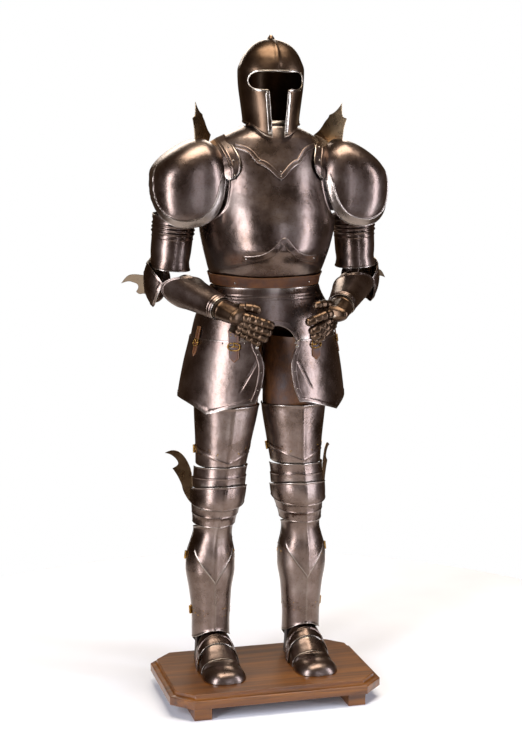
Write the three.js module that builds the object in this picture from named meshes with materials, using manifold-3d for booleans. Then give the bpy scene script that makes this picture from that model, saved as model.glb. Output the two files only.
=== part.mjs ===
// A full suit of plate armour standing by itself on a low wooden plinth.
// Millimetres, +Z up, the suit faces -Y. The wearer's right side is at -X.
// The suit is the same left and right, so each side piece is built once and mirrored.
import * as THREE from 'three';
import { mergeVertices } from 'three/addons/utils/BufferGeometryUtils.js';
import Module from 'manifold-3d';

const wasm = await Module();
wasm.setup();

// Sizes that drive the whole suit
const plateThick = 1.6;
const leatherThick = 2.4;
const seam = 0.35;
const plinthTop = 75;
const battenHeight = 36.6;

const steel = { colour: 0x8b8479, roughness: 0.32, metalness: 1 };
const darkSteel = { colour: 0x5d5148, roughness: 0.38, metalness: 1 };
const leather = { colour: 0x7a4a30, roughness: 0.7, metalness: 0 };
const wood = { colour: 0x7b4a2a, roughness: 0.55, metalness: 0 };

const suit = new THREE.Group();
suit.name = 'plate_armour';

const rad = (degrees) => degrees * Math.PI / 180;
const clamp = (value, low, high) => Math.min(high, Math.max(low, value));
const mix = (a, b, t) => a + (b - a) * t;
const smooth = (t) => t * t * (3 - 2 * t);
const bump = (x, centre, width) => Math.exp(-(((x - centre) / width) ** 2));
const signedPower = (x, p) => Math.sign(x) * Math.abs(x) ** p;
const add = (a, b, k = 1) => [a[0] + b[0] * k, a[1] + b[1] * k, a[2] + b[2] * k];
const sub = (a, b) => [a[0] - b[0], a[1] - b[1], a[2] - b[2]];
const dot = (a, b) => a[0] * b[0] + a[1] * b[1] + a[2] * b[2];
const cross = (a, b) => [
  a[1] * b[2] - a[2] * b[1],
  a[2] * b[0] - a[0] * b[2],
  a[0] * b[1] - a[1] * b[0],
];
const unit = (a) => {
  const length = Math.hypot(...a) || 1;
  return [a[0] / length, a[1] / length, a[2] / length];
};

// A smooth curve through a table whose first column is the key
function tableCurve(rows) {
  const slopes = rows.map((row, i) => {
    const before = rows[Math.max(0, i - 1)];
    const after = rows[Math.min(rows.length - 1, i + 1)];
    return row.map((_, k) => {
      const rise = (after[k] - before[k]) / (after[0] - before[0]);
      if (i === 0 || i === rows.length - 1) return rise;
      const left = (row[k] - before[k]) / (row[0] - before[0]);
      const right = (after[k] - row[k]) / (after[0] - row[0]);
      if (left * right <= 0) return 0;
      const most = 2.5 * Math.min(Math.abs(left), Math.abs(right));
      return Math.sign(rise) * Math.min(Math.abs(rise), most);
    });
  });
  return (key) => {
    const x = clamp(key, rows[0][0], rows[rows.length - 1][0]);
    let i = 0;
    while (i < rows.length - 2 && x > rows[i + 1][0]) i += 1;
    const span = rows[i + 1][0] - rows[i][0];
    const t = (x - rows[i][0]) / span;
    return rows[i].map((value, k) => {
      const h1 = 2 * t ** 3 - 3 * t ** 2 + 1;
      const h2 = t ** 3 - 2 * t ** 2 + t;
      const h3 = -2 * t ** 3 + 3 * t ** 2;
      const h4 = t ** 3 - t ** 2;
      const start = h1 * value + h2 * span * slopes[i][k];
      return start + h3 * rows[i + 1][k] + h4 * span * slopes[i + 1][k];
    });
  };
}

// A closed plate of even wall from a grid of points on its outer face.
// ring joins the last column to the first, pole closes the first row to one point,
// thick may be a number or a function of (u, v) for a raised border on the outside.
function plateGeometry(outer, columns, rows, options = {}) {
  const { ring = false, pole = false, thick = plateThick, raise = null, flip = false } = options;
  const wide = ring ? columns : columns + 1;
  const grid = [];
  for (let j = 0; j <= rows; j += 1) {
    for (let i = 0; i < wide; i += 1) grid.push(outer(i / columns, j / rows));
  }
  const at = (i, j) => j * wide + (ring ? (i + wide) % wide : i);
  const normals = grid.map(() => [0, 0, 0]);
  const turn = flip ? -1 : 1;
  for (let j = 0; j < rows; j += 1) {
    for (let i = 0; i < columns; i += 1) {
      const corners = [at(i, j), at(i + 1, j), at(i + 1, j + 1), at(i, j + 1)];
      const across = sub(grid[corners[2]], grid[corners[0]]);
      const along = sub(grid[corners[3]], grid[corners[1]]);
      const face = cross(across, along);
      for (const c of corners) normals[c] = add(normals[c], face, turn);
    }
  }
  if (pole) {
    let sum = [0, 0, 0];
    for (let i = 0; i < wide; i += 1) sum = add(sum, normals[at(i, 1)]);
    for (let i = 0; i < wide; i += 1) normals[at(i, 0)] = sum;
  }
  const points = [];
  const inner = [];
  for (let j = 0; j <= rows; j += 1) {
    for (let i = 0; i < wide; i += 1) {
      const n = unit(normals[at(i, j)]);
      const lift = raise ? raise(i / columns, j / rows) : 0;
      const wall = typeof thick === 'function' ? thick(i / columns, j / rows) : thick;
      points.push(...add(grid[at(i, j)], n, lift));
      inner.push(...add(grid[at(i, j)], n, -wall));
    }
  }
  const count = grid.length;
  const vertices = points.concat(inner);
  const faces = [];
  const triangle = (a, b, c) => {
    if (a === b || b === c || c === a) return;
    if (flip) faces.push(a, c, b);
    else faces.push(a, b, c);
  };
  const quad = (a, b, c, d) => {
    triangle(a, b, c);
    triangle(a, c, d);
  };
  const outerId = (i, j) => (pole && j === 0 ? 0 : at(i, j));
  const innerId = (i, j) => count + outerId(i, j);
  for (let j = 0; j < rows; j += 1) {
    for (let i = 0; i < columns; i += 1) {
      quad(outerId(i, j), outerId(i + 1, j), outerId(i + 1, j + 1), outerId(i, j + 1));
      quad(innerId(i, j), innerId(i, j + 1), innerId(i + 1, j + 1), innerId(i + 1, j));
    }
  }
  for (let i = 0; i < columns; i += 1) {
    if (!pole) quad(outerId(i, 0), innerId(i, 0), innerId(i + 1, 0), outerId(i + 1, 0));
    quad(outerId(i, rows), outerId(i + 1, rows), innerId(i + 1, rows), innerId(i, rows));
  }
  if (!ring) {
    for (let j = 0; j < rows; j += 1) {
      quad(outerId(0, j), outerId(0, j + 1), innerId(0, j + 1), innerId(0, j));
      quad(outerId(columns, j), innerId(columns, j), innerId(columns, j + 1), outerId(columns, j + 1));
    }
  }
  return indexedGeometry(vertices, faces);
}

function indexedGeometry(vertices, faces) {
  const geometry = new THREE.BufferGeometry();
  geometry.setAttribute('position', new THREE.Float32BufferAttribute(vertices, 3));
  geometry.setIndex(faces);
  const merged = mergeVertices(geometry, 1e-4);
  merged.computeVertexNormals();
  return merged;
}

function mirrored(geometry) {
  const copy = geometry.clone();
  const position = copy.getAttribute('position');
  for (let i = 0; i < position.count; i += 1) position.setX(i, -position.getX(i));
  const index = Array.from(copy.getIndex().array);
  for (let i = 0; i < index.length; i += 3) {
    [index[i + 1], index[i + 2]] = [index[i + 2], index[i + 1]];
  }
  copy.setIndex(index);
  copy.computeVertexNormals();
  return copy;
}

function addPiece(name, geometry, finish) {
  const material = new THREE.MeshStandardMaterial({
    color: finish.colour,
    roughness: finish.roughness,
    metalness: finish.metalness,
  });
  const mesh = new THREE.Mesh(geometry, material);
  mesh.name = name;
  suit.add(mesh);
}

// The geometry is given on the wearer's left (+X); the right is its mirror image
function addPair(name, geometry, finish) {
  addPiece(`left_${name}`, geometry, finish);
  addPiece(`right_${name}`, mirrored(geometry), finish);
}

function solidOf(geometry) {
  const plain = geometry.clone();
  plain.deleteAttribute('normal');
  plain.deleteAttribute('uv');
  const welded = mergeVertices(plain, 1e-4);
  return new wasm.Manifold(new wasm.Mesh({
    numProp: 3,
    vertProperties: new Float32Array(welded.getAttribute('position').array),
    triVerts: new Uint32Array(welded.getIndex().array),
  }));
}

function geometryOf(solid) {
  const mesh = solid.getMesh();
  return indexedGeometry(Array.from(mesh.vertProperties), Array.from(mesh.triVerts));
}

function join(parts) {
  return geometryOf(parts.map(solidOf).reduce((whole, part) => whole.add(part)));
}

// A frame whose third axis runs from one point to another and whose second faces back
function frameBetween(from, to, back = [0, 1, 0]) {
  const axis = unit(sub(to, from));
  const rear = unit(add(back, axis, -dot(back, axis)));
  const side = cross(rear, axis);
  return (x, y, s) => add(add(add(from, side, x), rear, y), axis, s);
}

// A point on a section: angle 0 is the front, 90 degrees is the +X side
function onSection(half, front, back, angle, power = 1) {
  const c = Math.cos(angle);
  return [half * signedPower(Math.sin(angle), power), -(c > 0 ? front : back) * signedPower(c, power)];
}

// The plinth: one board with a stepped and hollowed edge on two battens
const boardHalfWide = 300;
const boardHalfDeep = 184;
const boardCorner = 48;
const boardEdge = [
  // out from the upper tier, height above the floor
  [18, 37],
  [18, 59],
  [16, 61.5],
  [5, 63],
  [1, 66],
  [0, 73.5],
  [-1.5, plinthTop],
];

function boardLoop(out) {
  const x = boardHalfWide + out;
  const y = boardHalfDeep + out;
  const c = boardCorner + out * 0.586;
  return [
    [x - c, -y], [x, -y + c], [x, y - c], [x - c, y],
    [-x + c, y], [-x, y - c], [-x, -y + c], [-x + c, -y],
  ];
}

function plinthBoard() {
  const vertices = [];
  const faces = [];
  const corners = 8;
  boardEdge.forEach(([out, z]) => boardLoop(out).forEach(([x, y]) => vertices.push(x, y, z)));
  for (let j = 0; j < boardEdge.length - 1; j += 1) {
    for (let i = 0; i < corners; i += 1) {
      const a = j * corners + i;
      const b = j * corners + ((i + 1) % corners);
      faces.push(a, b, b + corners, a, b + corners, a + corners);
    }
  }
  const top = (boardEdge.length - 1) * corners;
  for (let i = 1; i < corners - 1; i += 1) {
    faces.push(0, i + 1, i);
    faces.push(top, top + i, top + i + 1);
  }
  return indexedGeometry(vertices, faces);
}
addPiece('plinth_board', plinthBoard(), wood);

const battenWide = 52;
const battenDeep = 384;
const battenAt = 231;
const batten = new THREE.BoxGeometry(battenWide, battenDeep, battenHeight);
batten.translate(battenAt, 0, battenHeight / 2);
addPair('plinth_batten', batten, wood);

// Legs: sections of the leg line from the ankle to the thigh, in the wearer's left leg.
// Each row is height, half width, front reach, back reach, middle x, middle y.
const legLine = tableCurve([
  [120, 57, 62, 64, 141, 96],
  [196, 57, 58, 60, 142, 96],
  [255, 60, 59, 62, 142, 96],
  [305, 65, 61, 68, 143, 97],
  [365, 74, 64, 75, 143, 97],
  [415, 72, 64, 71, 142, 96],
  [452, 63, 62, 64, 140, 94],
  [482, 58, 62, 60, 137, 92],
  [515, 60, 65, 60, 134, 89],
  [550, 66, 68, 58, 130, 87],
  [570, 70, 73, 58, 127, 86],
  [620, 73, 76, 58, 122, 84],
  [665, 74, 76, 62, 118, 81],
  [700, 77, 78, 72, 114, 78],
  [762, 84, 84, 80, 109, 73],
  [860, 96, 90, 92, 103, 62],
  [960, 99, 96, 100, 101, 50],
  [1085, 106.4, 112, 98, 109, 38],
]);

function legPoint(angle, z, out = 0, ridge = 0) {
  const [, half, front, back, x, y] = legLine(z);
  const reach = front + ridge * bump(angle, 0, rad(16));
  const [sx, sy] = onSection(half + out, reach + out, back + out, angle);
  return [x + sx, y + sy, z];
}

// An arc of the leg between two angles, with its lower and upper edges as curves of the angle
function legPlate(from, to, low, high, columns, rows, shape = {}) {
  const { out = 0, ridge = 0, ring = false, thick = plateThick, flip = false } = shape;
  const outer = (u, v) => {
    const angle = mix(rad(from), rad(to), u);
    const z = mix(low(angle), high(angle), v);
    const lift = typeof out === 'function' ? out(angle, z, v) : out;
    return legPoint(angle, z, lift, ridge);
  };
  return plateGeometry(outer, columns, rows, { ring, thick, flip });
}

// Greaves: a front and a back half, the front with a keel that rises from a pointed chevron
const greaveTop = (a) => 512 - 14 * (1 - Math.cos(a));
const greaveFrontLow = (a) => 184 - 32 * smooth(clamp(Math.abs(a) / rad(90), 0, 1));
const greaveBackLow = (a) => 150 - 52 * smooth(clamp((Math.abs(a) - rad(90)) / rad(90), 0, 1));
const greaveSplit = 92;
const greaveGap = 1.2;
const chevronRise = (a, z) => {
  const line = 340 + 1.9 * 57.3 * Math.abs(a) * 0.55;
  const above = clamp((z - line) / 12, 0, 1) * clamp((470 - z) / 40, 0, 1);
  return 2.2 * above * bump(a, 0, rad(48));
};
addPair('greave_front', legPlate(
  -greaveSplit, greaveSplit, greaveFrontLow, greaveTop, 14, 7,
  { ridge: 5, out: chevronRise },
), steel);
addPair('greave_back', legPlate(
  greaveSplit + greaveGap, 360 - greaveSplit - greaveGap,
  (a) => greaveBackLow(a > Math.PI ? 2 * Math.PI - a : a),
  (a) => greaveTop(a), 10, 5,
), steel);


// A flat horned plate set upright, drawn by its outline out from an origin
function wingPlate(origin, along, outline, thick) {
  const shape = new THREE.Shape();
  outline.forEach(([a, b], i) => (i ? shape.lineTo(a, b) : shape.moveTo(a, b)));
  const plate = new THREE.ExtrudeGeometry(shape, { depth: thick, bevelEnabled: false });
  const a = unit([...along, 0]);
  const normal = [a[1], -a[0], 0];
  const matrix = new THREE.Matrix4().makeBasis(
    new THREE.Vector3(...a), new THREE.Vector3(0, 0, 1), new THREE.Vector3(...normal),
  );
  matrix.setPosition(...origin);
  plate.applyMatrix4(matrix);
  return plate;
}

// Knee: a domed cup with two lames above and two below, each lapped over the next
const kneeMid = 595;
const kneeHalfAngle = 100;
const kneeCup = (a, z) => {
  const t = (z - kneeMid) / 52;
  const dome = Math.sqrt(Math.max(0, 1 - Math.min(1, t * t)));
  return 7 + 11 * dome * (0.45 + 0.55 * Math.max(0, Math.cos(a)));
};
const kneeCupPlate = legPlate(
  -kneeHalfAngle, kneeHalfAngle,
  (a) => 558 + 22 * (1 - Math.cos(a * 0.9)), (a) => 634 - 20 * (1 - Math.cos(a * 0.9)), 14, 5,
  { ridge: 5, out: kneeCup },
);
const kneeWing = [
  // out and back along the wing, up
  [-16, 34], [6, 48], [34, 64], [68, 84], [100, 86], [82, 64], [62, 50],
  [72, 44], [50, 20], [38, -6], [12, -24], [-16, -32],
];
const kneeWingPlate = wingPlate([206.5, 92, 597], [0.3, 0.954], kneeWing, 2);
addPair('knee_cup', join([kneeCupPlate, kneeWingPlate]), steel);
const kneeLames = [
  // name, lower edge, upper edge, set out at the outer end, at the cup end
  ['knee_lames_below', 503, 561, 3.6, 5.4],
  ['knee_lames_above', 690, 626, 3.2, 6.9],
];
for (const [name, farEdge, cupEdge, outFar, outCup] of kneeLames) {
  const sag = 8 * Math.sign(cupEdge - farEdge);
  const stepAt = 0.52;
  addPair(name, legPlate(
    -kneeHalfAngle + 4, kneeHalfAngle - 4,
    (a) => farEdge + sag * (1 - Math.cos(a * 0.9)),
    (a) => cupEdge + sag * (1 - Math.cos(a * 0.9)),
    12, 3,
    { ridge: 5, flip: cupEdge < farEdge, out: (a, z, v) => (v < stepAt ? outFar : outCup) },
  ), steel);
}

// Thigh plate with a keel, and the leather of the thigh above and behind it
const cuisseLow = (a) => 684 + 6 * (1 - Math.cos(a));
const cuisseHigh = (a) => 868 + 4 * Math.cos(a);
addPair('cuisse', legPlate(-118, 118, cuisseLow, cuisseHigh, 14, 3, { ridge: 6 }), steel);

addPair('thigh_leather', legPlate(
  0, 360, () => 846, () => 1078, 16, 3, { out: -4.1, ring: true, thick: leatherThick },
), leather);

// Feet: sections that arch over the foot, rows run from the toe to the instep.
// Each row is the depth along Y, half width, height of the arch.
const footX = 140;
const footFloor = plinthTop + seam;
const footLine = tableCurve([
  [-131, 6, 8],
  [-110, 44, 24],
  [-80, 57, 34],
  [-48, 61, 37],
  [-10, 61, 60],
  [20, 58, 86],
  [52, 54, 104],
]);

function footPoint(angle, y, out = 0, lean = 0) {
  const [, half, high] = footLine(y);
  const side = signedPower(Math.sin(angle), 0.9);
  const rise = Math.abs(Math.cos(angle)) ** 0.8;
  return [footX + (half + out) * side, y + lean * rise, footFloor + (high + out) * rise];
}

function footPlate(from, to, out, columns, rows, lean = 0) {
  const outer = (u, v) => {
    const angle = mix(-Math.PI / 2, Math.PI / 2, u);
    return footPoint(angle, mix(from, to, v), out(v), lean);
  };
  return plateGeometry(outer, columns, rows, {});
}
addPair('sabaton_forefoot', footPlate(-36, 8, () => 0, 12, 3, 6), steel);
addPair('sabaton_lames', footPlate(3, 48, (v) => (v < 0.5 ? 4.8 : 6.1), 10, 3, 8), steel);

// The rounded toe cap: a dome from its crown out to the rim on the floor
const toeCrown = [footX, -72, footFloor + 41];
const toeBack = -44;
function toeRim(turn) {
  // turn runs once round the rim, 0 is the tip of the toe
  const side = Math.sin(turn);
  const fore = Math.cos(turn);
  if (fore > -0.25) {
    const t = clamp((fore + 0.25) / 1.25, 0, 1);
    return [footX + 63 * signedPower(side, 0.8), mix(toeBack - 6, -131, t ** 0.8), footFloor + 0.7];
  }
  const arch = clamp((-fore - 0.25) / 0.75, 0, 1);
  return [footX + 63 * side, toeBack + 6 * arch, footFloor + 0.7 + 40 * Math.sin(arch * Math.PI / 2)];
}
const toeCap = (u, v) => {
  const rim = toeRim(u * 2 * Math.PI);
  const spread = Math.sin(v * Math.PI / 2);
  const fall = 1 - Math.cos(v * Math.PI / 2);
  return [
    mix(toeCrown[0], rim[0], spread),
    mix(toeCrown[1], rim[1], spread),
    mix(toeCrown[2], rim[2], fall),
  ];
};
addPair('sabaton_toe', plateGeometry(toeCap, 16, 4, { ring: true, pole: true, flip: true }), steel);

// The leather heel behind the foot, inside the greave
const heelPlate = plateGeometry((u, v) => {
  const angle = mix(rad(78), rad(282), u);
  const [x, y] = onSection(50 - 4 * v, 40, 60 - 8 * v, angle);
  return [141 + x, 97 + y, mix(footFloor, 158, v)];
}, 10, 2, { thick: leatherThick });
addPair('heel', heelPlate, leather);

// Skirt: sections of the hips. Each row is height, half width, front, back, middle y.
const hipLine = tableCurve([
  [850, 250, 188, 162, 54],
  [895, 246, 184, 160, 51],
  [922, 244, 180, 158, 50],
  [999, 231, 170, 150, 43],
  [1061, 217, 158, 142, 38],
  [1128, 203, 145, 132, 33],
  [1170, 188, 134, 120, 28],
  [1200, 170, 128, 108, 25],
  [1226, 160, 128, 103, 22],
]);

function hipPoint(angle, z, out = 0) {
  const [, half, front, back, y] = hipLine(z);
  const [sx, sy] = onSection(half + out, front + out, back + out, angle);
  return [sx, y + sy, z];
}
// The same surface reached by its sideways place on the front
function hipAt(x, z, out = 0) {
  const [, half] = hipLine(z);
  return hipPoint(Math.asin(clamp(x / (half + out), -0.999, 0.999)), z, out);
}

// The keyhole arch in the front: half width of the opening at each height
const archTop = 1120;
const archLine = tableCurve([
  [860, 74],
  [902, 65],
  [940, 50],
  [1004, 40],
  [1035, 46],
  [1068, 58],
  [1090, 50],
  [1106, 36],
  [1116, 18],
  [1120, 0.5],
]);
const archHalf = (z) => archLine(z)[1];

// Front fauld, from the waist to the seam above the tassets, cut by the arch
const fauldSeam = 1066;
const waistTop = 1226;
const sideGap = 0.35;
const fauldSlot = (z) => (z < archTop ? archHalf(z) : 0);

function archCutter() {
  const shape = new THREE.Shape();
  const steps = 11;
  const low = 1000;
  shape.moveTo(-archHalf(low), low);
  for (let i = 1; i <= steps; i += 1) {
    const z = mix(low, archTop, Math.sin(i / steps * Math.PI / 2));
    shape.lineTo(-fauldSlot(z) - (i === steps ? 0.4 : 0), z);
  }
  for (let i = steps; i >= 0; i -= 1) {
    const z = mix(low, archTop, Math.sin(i / steps * Math.PI / 2));
    shape.lineTo(fauldSlot(z) + (i === steps ? 0.4 : 0), z);
  }
  const cutter = new THREE.ExtrudeGeometry(shape, { depth: 400, bevelEnabled: false });
  cutter.rotateX(Math.PI / 2);
  return cutter;
}

function hipPlate(from, to, low, high, columns, rows, out = 0) {
  const outer = (u, v) => {
    const angle = mix(from, to, u);
    return hipPoint(angle, mix(low(angle), high(angle), v), out);
  };
  return plateGeometry(outer, columns, rows, {});
}
const sideAngle = rad(96);
const fauldWhole = hipPlate(-sideAngle, sideAngle, () => fauldSeam, () => waistTop, 20, 4);
const fauldBackFrom = sideAngle + 0.006;
addPiece('fauld_back', hipPlate(
  fauldBackFrom, 2 * Math.PI - fauldBackFrom, () => fauldSeam, () => waistTop, 16, 4,
), steel);

// Tassets hang below the fauld and lap outside it, their hem drawn to a point
const tassetOut = 3.3;
const tassetTop = 1078;
const hemHeight = 901;
const hemDrop = 36;
const hemPointAt = 187;
const hemOutside = 66;
const hemInside = 108;
const hemWidest = 246;
function hemLow(x) {
  const beyond = Math.abs(x) - hemPointAt;
  const span = beyond > 0 ? hemOutside : hemInside;
  return hemHeight - hemDrop * Math.max(0, 1 - Math.abs(beyond) / span) ** 1.2;
}

function tassetPoint(u, v) {
  // u from the arch edge to the side, v from the hem to the top
  const rough = mix(rad(15), sideAngle, u);
  const z = mix(hemLow(hemWidest * Math.sin(rough)), tassetTop, v);
  const [, half] = hipLine(z);
  const start = Math.asin(archHalf(z) / (half + tassetOut));
  return hipPoint(mix(start, sideAngle, u), z, tassetOut);
}
const tassetPlate = plateGeometry(tassetPoint, 8, 5, {});
const rumpDrop = 20;
function rumpLow(a) {
  const share = (a - sideAngle) / (Math.PI - sideAngle);
  return hemHeight - rumpDrop * (0.5 - 0.5 * Math.cos(share * Math.PI));
}
addPiece('rump_plate', hipPlate(
  fauldBackFrom, 2 * Math.PI - fauldBackFrom,
  (a) => rumpLow(a > Math.PI ? 2 * Math.PI - a : a), () => tassetTop, 16, 4, tassetOut,
), steel);

// A flat band laid on a surface: path gives its middle line in (x, z), the surface gives depth
function bandOn(surface, path, width, lift, steps, thick = 1.6) {
  const outer = (u, v) => {
    const [x, z] = path(u);
    const [x0, z0] = path(clamp(u - 0.01, 0, 1));
    const [x1, z1] = path(clamp(u + 0.01, 0, 1));
    const along = unit([x1 - x0, 0, z1 - z0]);
    const w = width * (v - 0.5);
    return surface(x - along[2] * w, z + along[0] * w, lift + thick);
  };
  return plateGeometry(outer, steps, 1, { thick });
}
const archBandWide = 20;
const archBandPath = (u) => {
  // round the head of the arch, half a band outside its edge
  const turn = mix(-1, 1, u);
  const z = mix(archTop + archBandWide / 2, fauldSeam + 30, Math.abs(turn) ** 1.7);
  const open = archHalf(clamp(z, 902, archTop));
  const out = mix(0, archBandWide / 2, clamp((archTop + 10 - z) / 22, 0, 1));
  return [Math.sign(turn) * Math.min(1, Math.abs(turn) * 6) * (open + out), z];
};
const archBand = bandOn(hipAt, archBandPath, archBandWide, -2.2, 12, 3.8);
const fauldCut = geometryOf(solidOf(fauldWhole).subtract(solidOf(archCutter())));
addPiece('fauld_front', join([fauldCut, archBand]), steel);
const tassetBandPath = (u) => {
  const z = mix(tassetTop - 1, 906, u);
  return [archHalf(z) + 8.6, z];
};
const tassetBand = bandOn(hipAt, tassetBandPath, 16, tassetOut - 2.0, 5, 3.6);
addPair('tasset', join([tassetPlate, tassetBand]), steel);

// Body: sections of the breast and back from the waist to the neck.
// Each row is height, half width, front, back, middle y.
const bodyLine = tableCurve([
  [1195, 150, 112, 92, 22],
  [1245, 156, 132, 100, 22],
  [1274, 167, 158, 106, 20],
  [1306, 176, 183, 112, 17],
  [1344, 186, 198, 120, 13],
  [1395, 195, 198, 128, 8],
  [1440, 195, 184, 132, 6],
  [1500, 186, 160, 128, 5],
  [1560, 176, 138, 116, 3],
  [1600, 167, 119, 104, 0],
  [1628, 154, 104, 92, -3],
  [1645, 138, 93, 82, -7],
  [1655, 121, 86, 75, -9],
  [1664, 103, 79, 79.4, -11],
  [1672, 86, 73, 74.4, -12],
  [1680, 70, 67, 67.4, -13],
]);

function bodyPoint(angle, z, out = 0) {
  const [, half, front, back, y] = bodyLine(z);
  const [sx, sy] = onSection(half + out, front + out, back + out, angle);
  return [sx, y + sy, z];
}
function bodyAt(x, z, out = 0) {
  const [, half] = bodyLine(z);
  return bodyPoint(Math.asin(clamp(x / (half + out), -0.999, 0.999)), z, out);
}

// The arm openings narrow both plates above the armpit
const armhole = tableCurve([
  [1200, 89],
  [1385, 89],
  [1415, 70],
  [1440, 56],
  [1470, 50],
  [1520, 49],
  [1580, 50],
]);
const bodyLow = 1204;
const bodyHigh = 1568;
const backHigh = 1560;
const breast = plateGeometry((u, v) => {
  const z = mix(bodyLow, bodyHigh, v);
  return bodyPoint(rad(armhole(z)[1]) * mix(-1, 1, u), z);
}, 16, 9, {});
addPiece('breastplate', breast, steel);
const back = plateGeometry((u, v) => {
  const z = mix(bodyLow, backHigh, v);
  const edge = rad(armhole(z)[1]) - 0.5 * rad(89 - armhole(z)[1]) * 0.3;
  return bodyPoint(Math.PI + (edge - 0.004) * mix(-1, 1, u), z);
}, 12, 6, {});
addPiece('backplate', back, steel);

// The raised belly band, an ogee that rises to a point on the middle line
const bellyBand = (u) => {
  const x = mix(-106, 106, u);
  const t = Math.abs(x) / 106;
  return [x, 1374 - 62 * t ** 0.72];
};
addPiece('belly_band', bandOn(bodyAt, bellyBand, 13, 1.2, 16), steel);

// Leather belt round the waist
const beltLow = 1232;
const beltHigh = 1262;
addPiece('waist_belt', plateGeometry((u, v) => {
  const z = mix(beltLow, beltHigh, v) - 6 * Math.cos(u * 2 * Math.PI);
  return bodyPoint(u * 2 * Math.PI, z, 6.8);
}, 26, 1, { ring: true, thick: leatherThick }), leather);

// Gorget: front and back plates over the top of the breast, with an ogee lower edge
const gorgetOut = 3.9;
const gorgetTop = 1678;
const gorgetEdge = tableCurve([
  // sideways place, height of the front lower edge
  [0, 1530],
  [14, 1543],
  [32, 1561],
  [50, 1573],
  [64, 1583],
  [80, 1602],
  [100, 1612],
  [124, 1618],
  [170, 1626],
]);
const gorgetSide = rad(90);
function gorgetPoint(angle, v) {
  const reach = 165 * Math.sin(Math.min(Math.abs(angle), Math.PI / 2));
  const low = gorgetEdge(reach)[1];
  return bodyPoint(angle, mix(low, gorgetTop, v), gorgetOut);
}
const gorgetPlate = plateGeometry((u, v) => gorgetPoint(mix(-gorgetSide, gorgetSide, u), v), 16, 2, {});
const gorgetBackLow = (a) => 1626 - 72 * Math.sin(a - Math.PI / 2) ** 0.8;
addPiece('gorget_back', plateGeometry((u, v) => {
  const angle = mix(gorgetSide + 0.03, 2 * Math.PI - gorgetSide - 0.03, u);
  const fold = angle > Math.PI ? 2 * Math.PI - angle : angle;
  return bodyPoint(angle, mix(gorgetBackLow(fold), gorgetTop, v), gorgetOut - 0.2);
}, 14, 3, {}), steel);
const gorgetBandPath = (u) => {
  const x = mix(-118, 118, u);
  return [x, gorgetEdge(Math.abs(x))[1] + 9];
};
const gorgetBand = bandOn(bodyAt, gorgetBandPath, 14, gorgetOut - 2.1, 12, 3.7);
addPiece('gorget_front', join([gorgetPlate, gorgetBand]), steel);

// Collar lames inside the neck of the helmet, stepped like three rings
addPiece('neck_collar', plateGeometry((u, v) => {
  const step = (v * 3) % 1;
  const out = 1.6 * (1 - (v === 1 ? 1 : step));
  const [x, y] = onSection(65.5 + out, 65.5 + out, 55 + out, u * 2 * Math.PI);
  return [x, -16 + y, mix(1640, 1694, v)];
}, 16, 3, { ring: true }), steel);

// Helmet: sections from the neck to the nub. Each row is height, half width, front, back.
const helmetY = -38;
const helmetLine = tableCurve([
  [1640, 76, 79, 104],
  [1690, 78, 82, 108],
  [1745, 85, 83, 116],
  [1790, 91, 80, 122],
  [1831, 93, 74, 120],
  [1862, 83, 64, 106],
  [1880, 73, 55, 92],
  [1897, 59, 45, 72],
  [1908, 44, 34, 52],
  [1914, 30, 24, 35],
  [1918, 14, 14, 14],
  [1924, 8, 8, 8],
  [1930, 3, 3, 3],
]);
const helmetTop = 1930;
const helmetEdge = (a) => {
  // cheek points in front, higher at the neck side, lower again behind
  const side = Math.abs(a) / Math.PI;
  const raised = 40 * smooth(clamp((side - 0.08) / 0.36, 0, 1));
  return 1648 + raised - 18 * smooth(clamp((side - 0.6) / 0.4, 0, 1));
};

function helmetPoint(angle, z, out = 0) {
  const [, half, front, back] = helmetLine(z);
  const shown = clamp((z - 1830) / 20, 0, 1) * clamp((1925 - z) / 20, 0, 1);
  const ridge = 3.5 * bump(angle, 0, rad(9)) * shown;
  const lean = 8 * smooth(clamp((z - 1880) / 40, 0, 1));
  const [x, y] = onSection(half + out, front + out + ridge, back + out, angle, 0.96);
  return [x, helmetY + lean + y, z];
}

function helmetShell(out, thick, columns, rows) {
  return plateGeometry((u, v) => {
    const angle = mix(-Math.PI, Math.PI, u);
    const fall = Math.sin(v * Math.PI / 2) ** 1.25;
    return helmetPoint(angle, mix(helmetTop, helmetEdge(angle), fall), out);
  }, columns, rows, { ring: true, pole: true, flip: true, thick });
}

// The T of the face: a slot for the eyes and one that narrows past the mouth
const eyeHalf = 78;
const eyeLow = 1779;
const eyeHigh = 1826;
const mouthTopHalf = 26;
const mouthLowHalf = 16.5;

function faceOutline(grow) {
  const shape = new THREE.Shape();
  const round = (eyeHigh - eyeLow) / 2 + grow;
  const middle = (eyeHigh + eyeLow) / 2;
  shape.moveTo(-mouthLowHalf - grow, 1600);
  shape.lineTo(-mouthLowHalf - grow, 1655);
  shape.lineTo(-mouthTopHalf - grow, eyeLow - 8 - grow);
  shape.quadraticCurveTo(-mouthTopHalf - grow, eyeLow - grow, -mouthTopHalf - grow - 10, eyeLow - grow);
  shape.lineTo(-eyeHalf + round - grow, eyeLow - grow);
  shape.absarc(-eyeHalf + round - grow, middle, round, -Math.PI / 2, Math.PI / 2, true);
  shape.lineTo(eyeHalf - round + grow, eyeHigh + grow);
  shape.absarc(eyeHalf - round + grow, middle, round, Math.PI / 2, -Math.PI / 2, true);
  shape.lineTo(mouthTopHalf + grow + 10, eyeLow - grow);
  shape.quadraticCurveTo(mouthTopHalf + grow, eyeLow - grow, mouthTopHalf + grow, eyeLow - 8 - grow);
  shape.lineTo(mouthLowHalf + grow, 1655);
  shape.lineTo(mouthLowHalf + grow, 1600);
  return shape;
}

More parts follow.
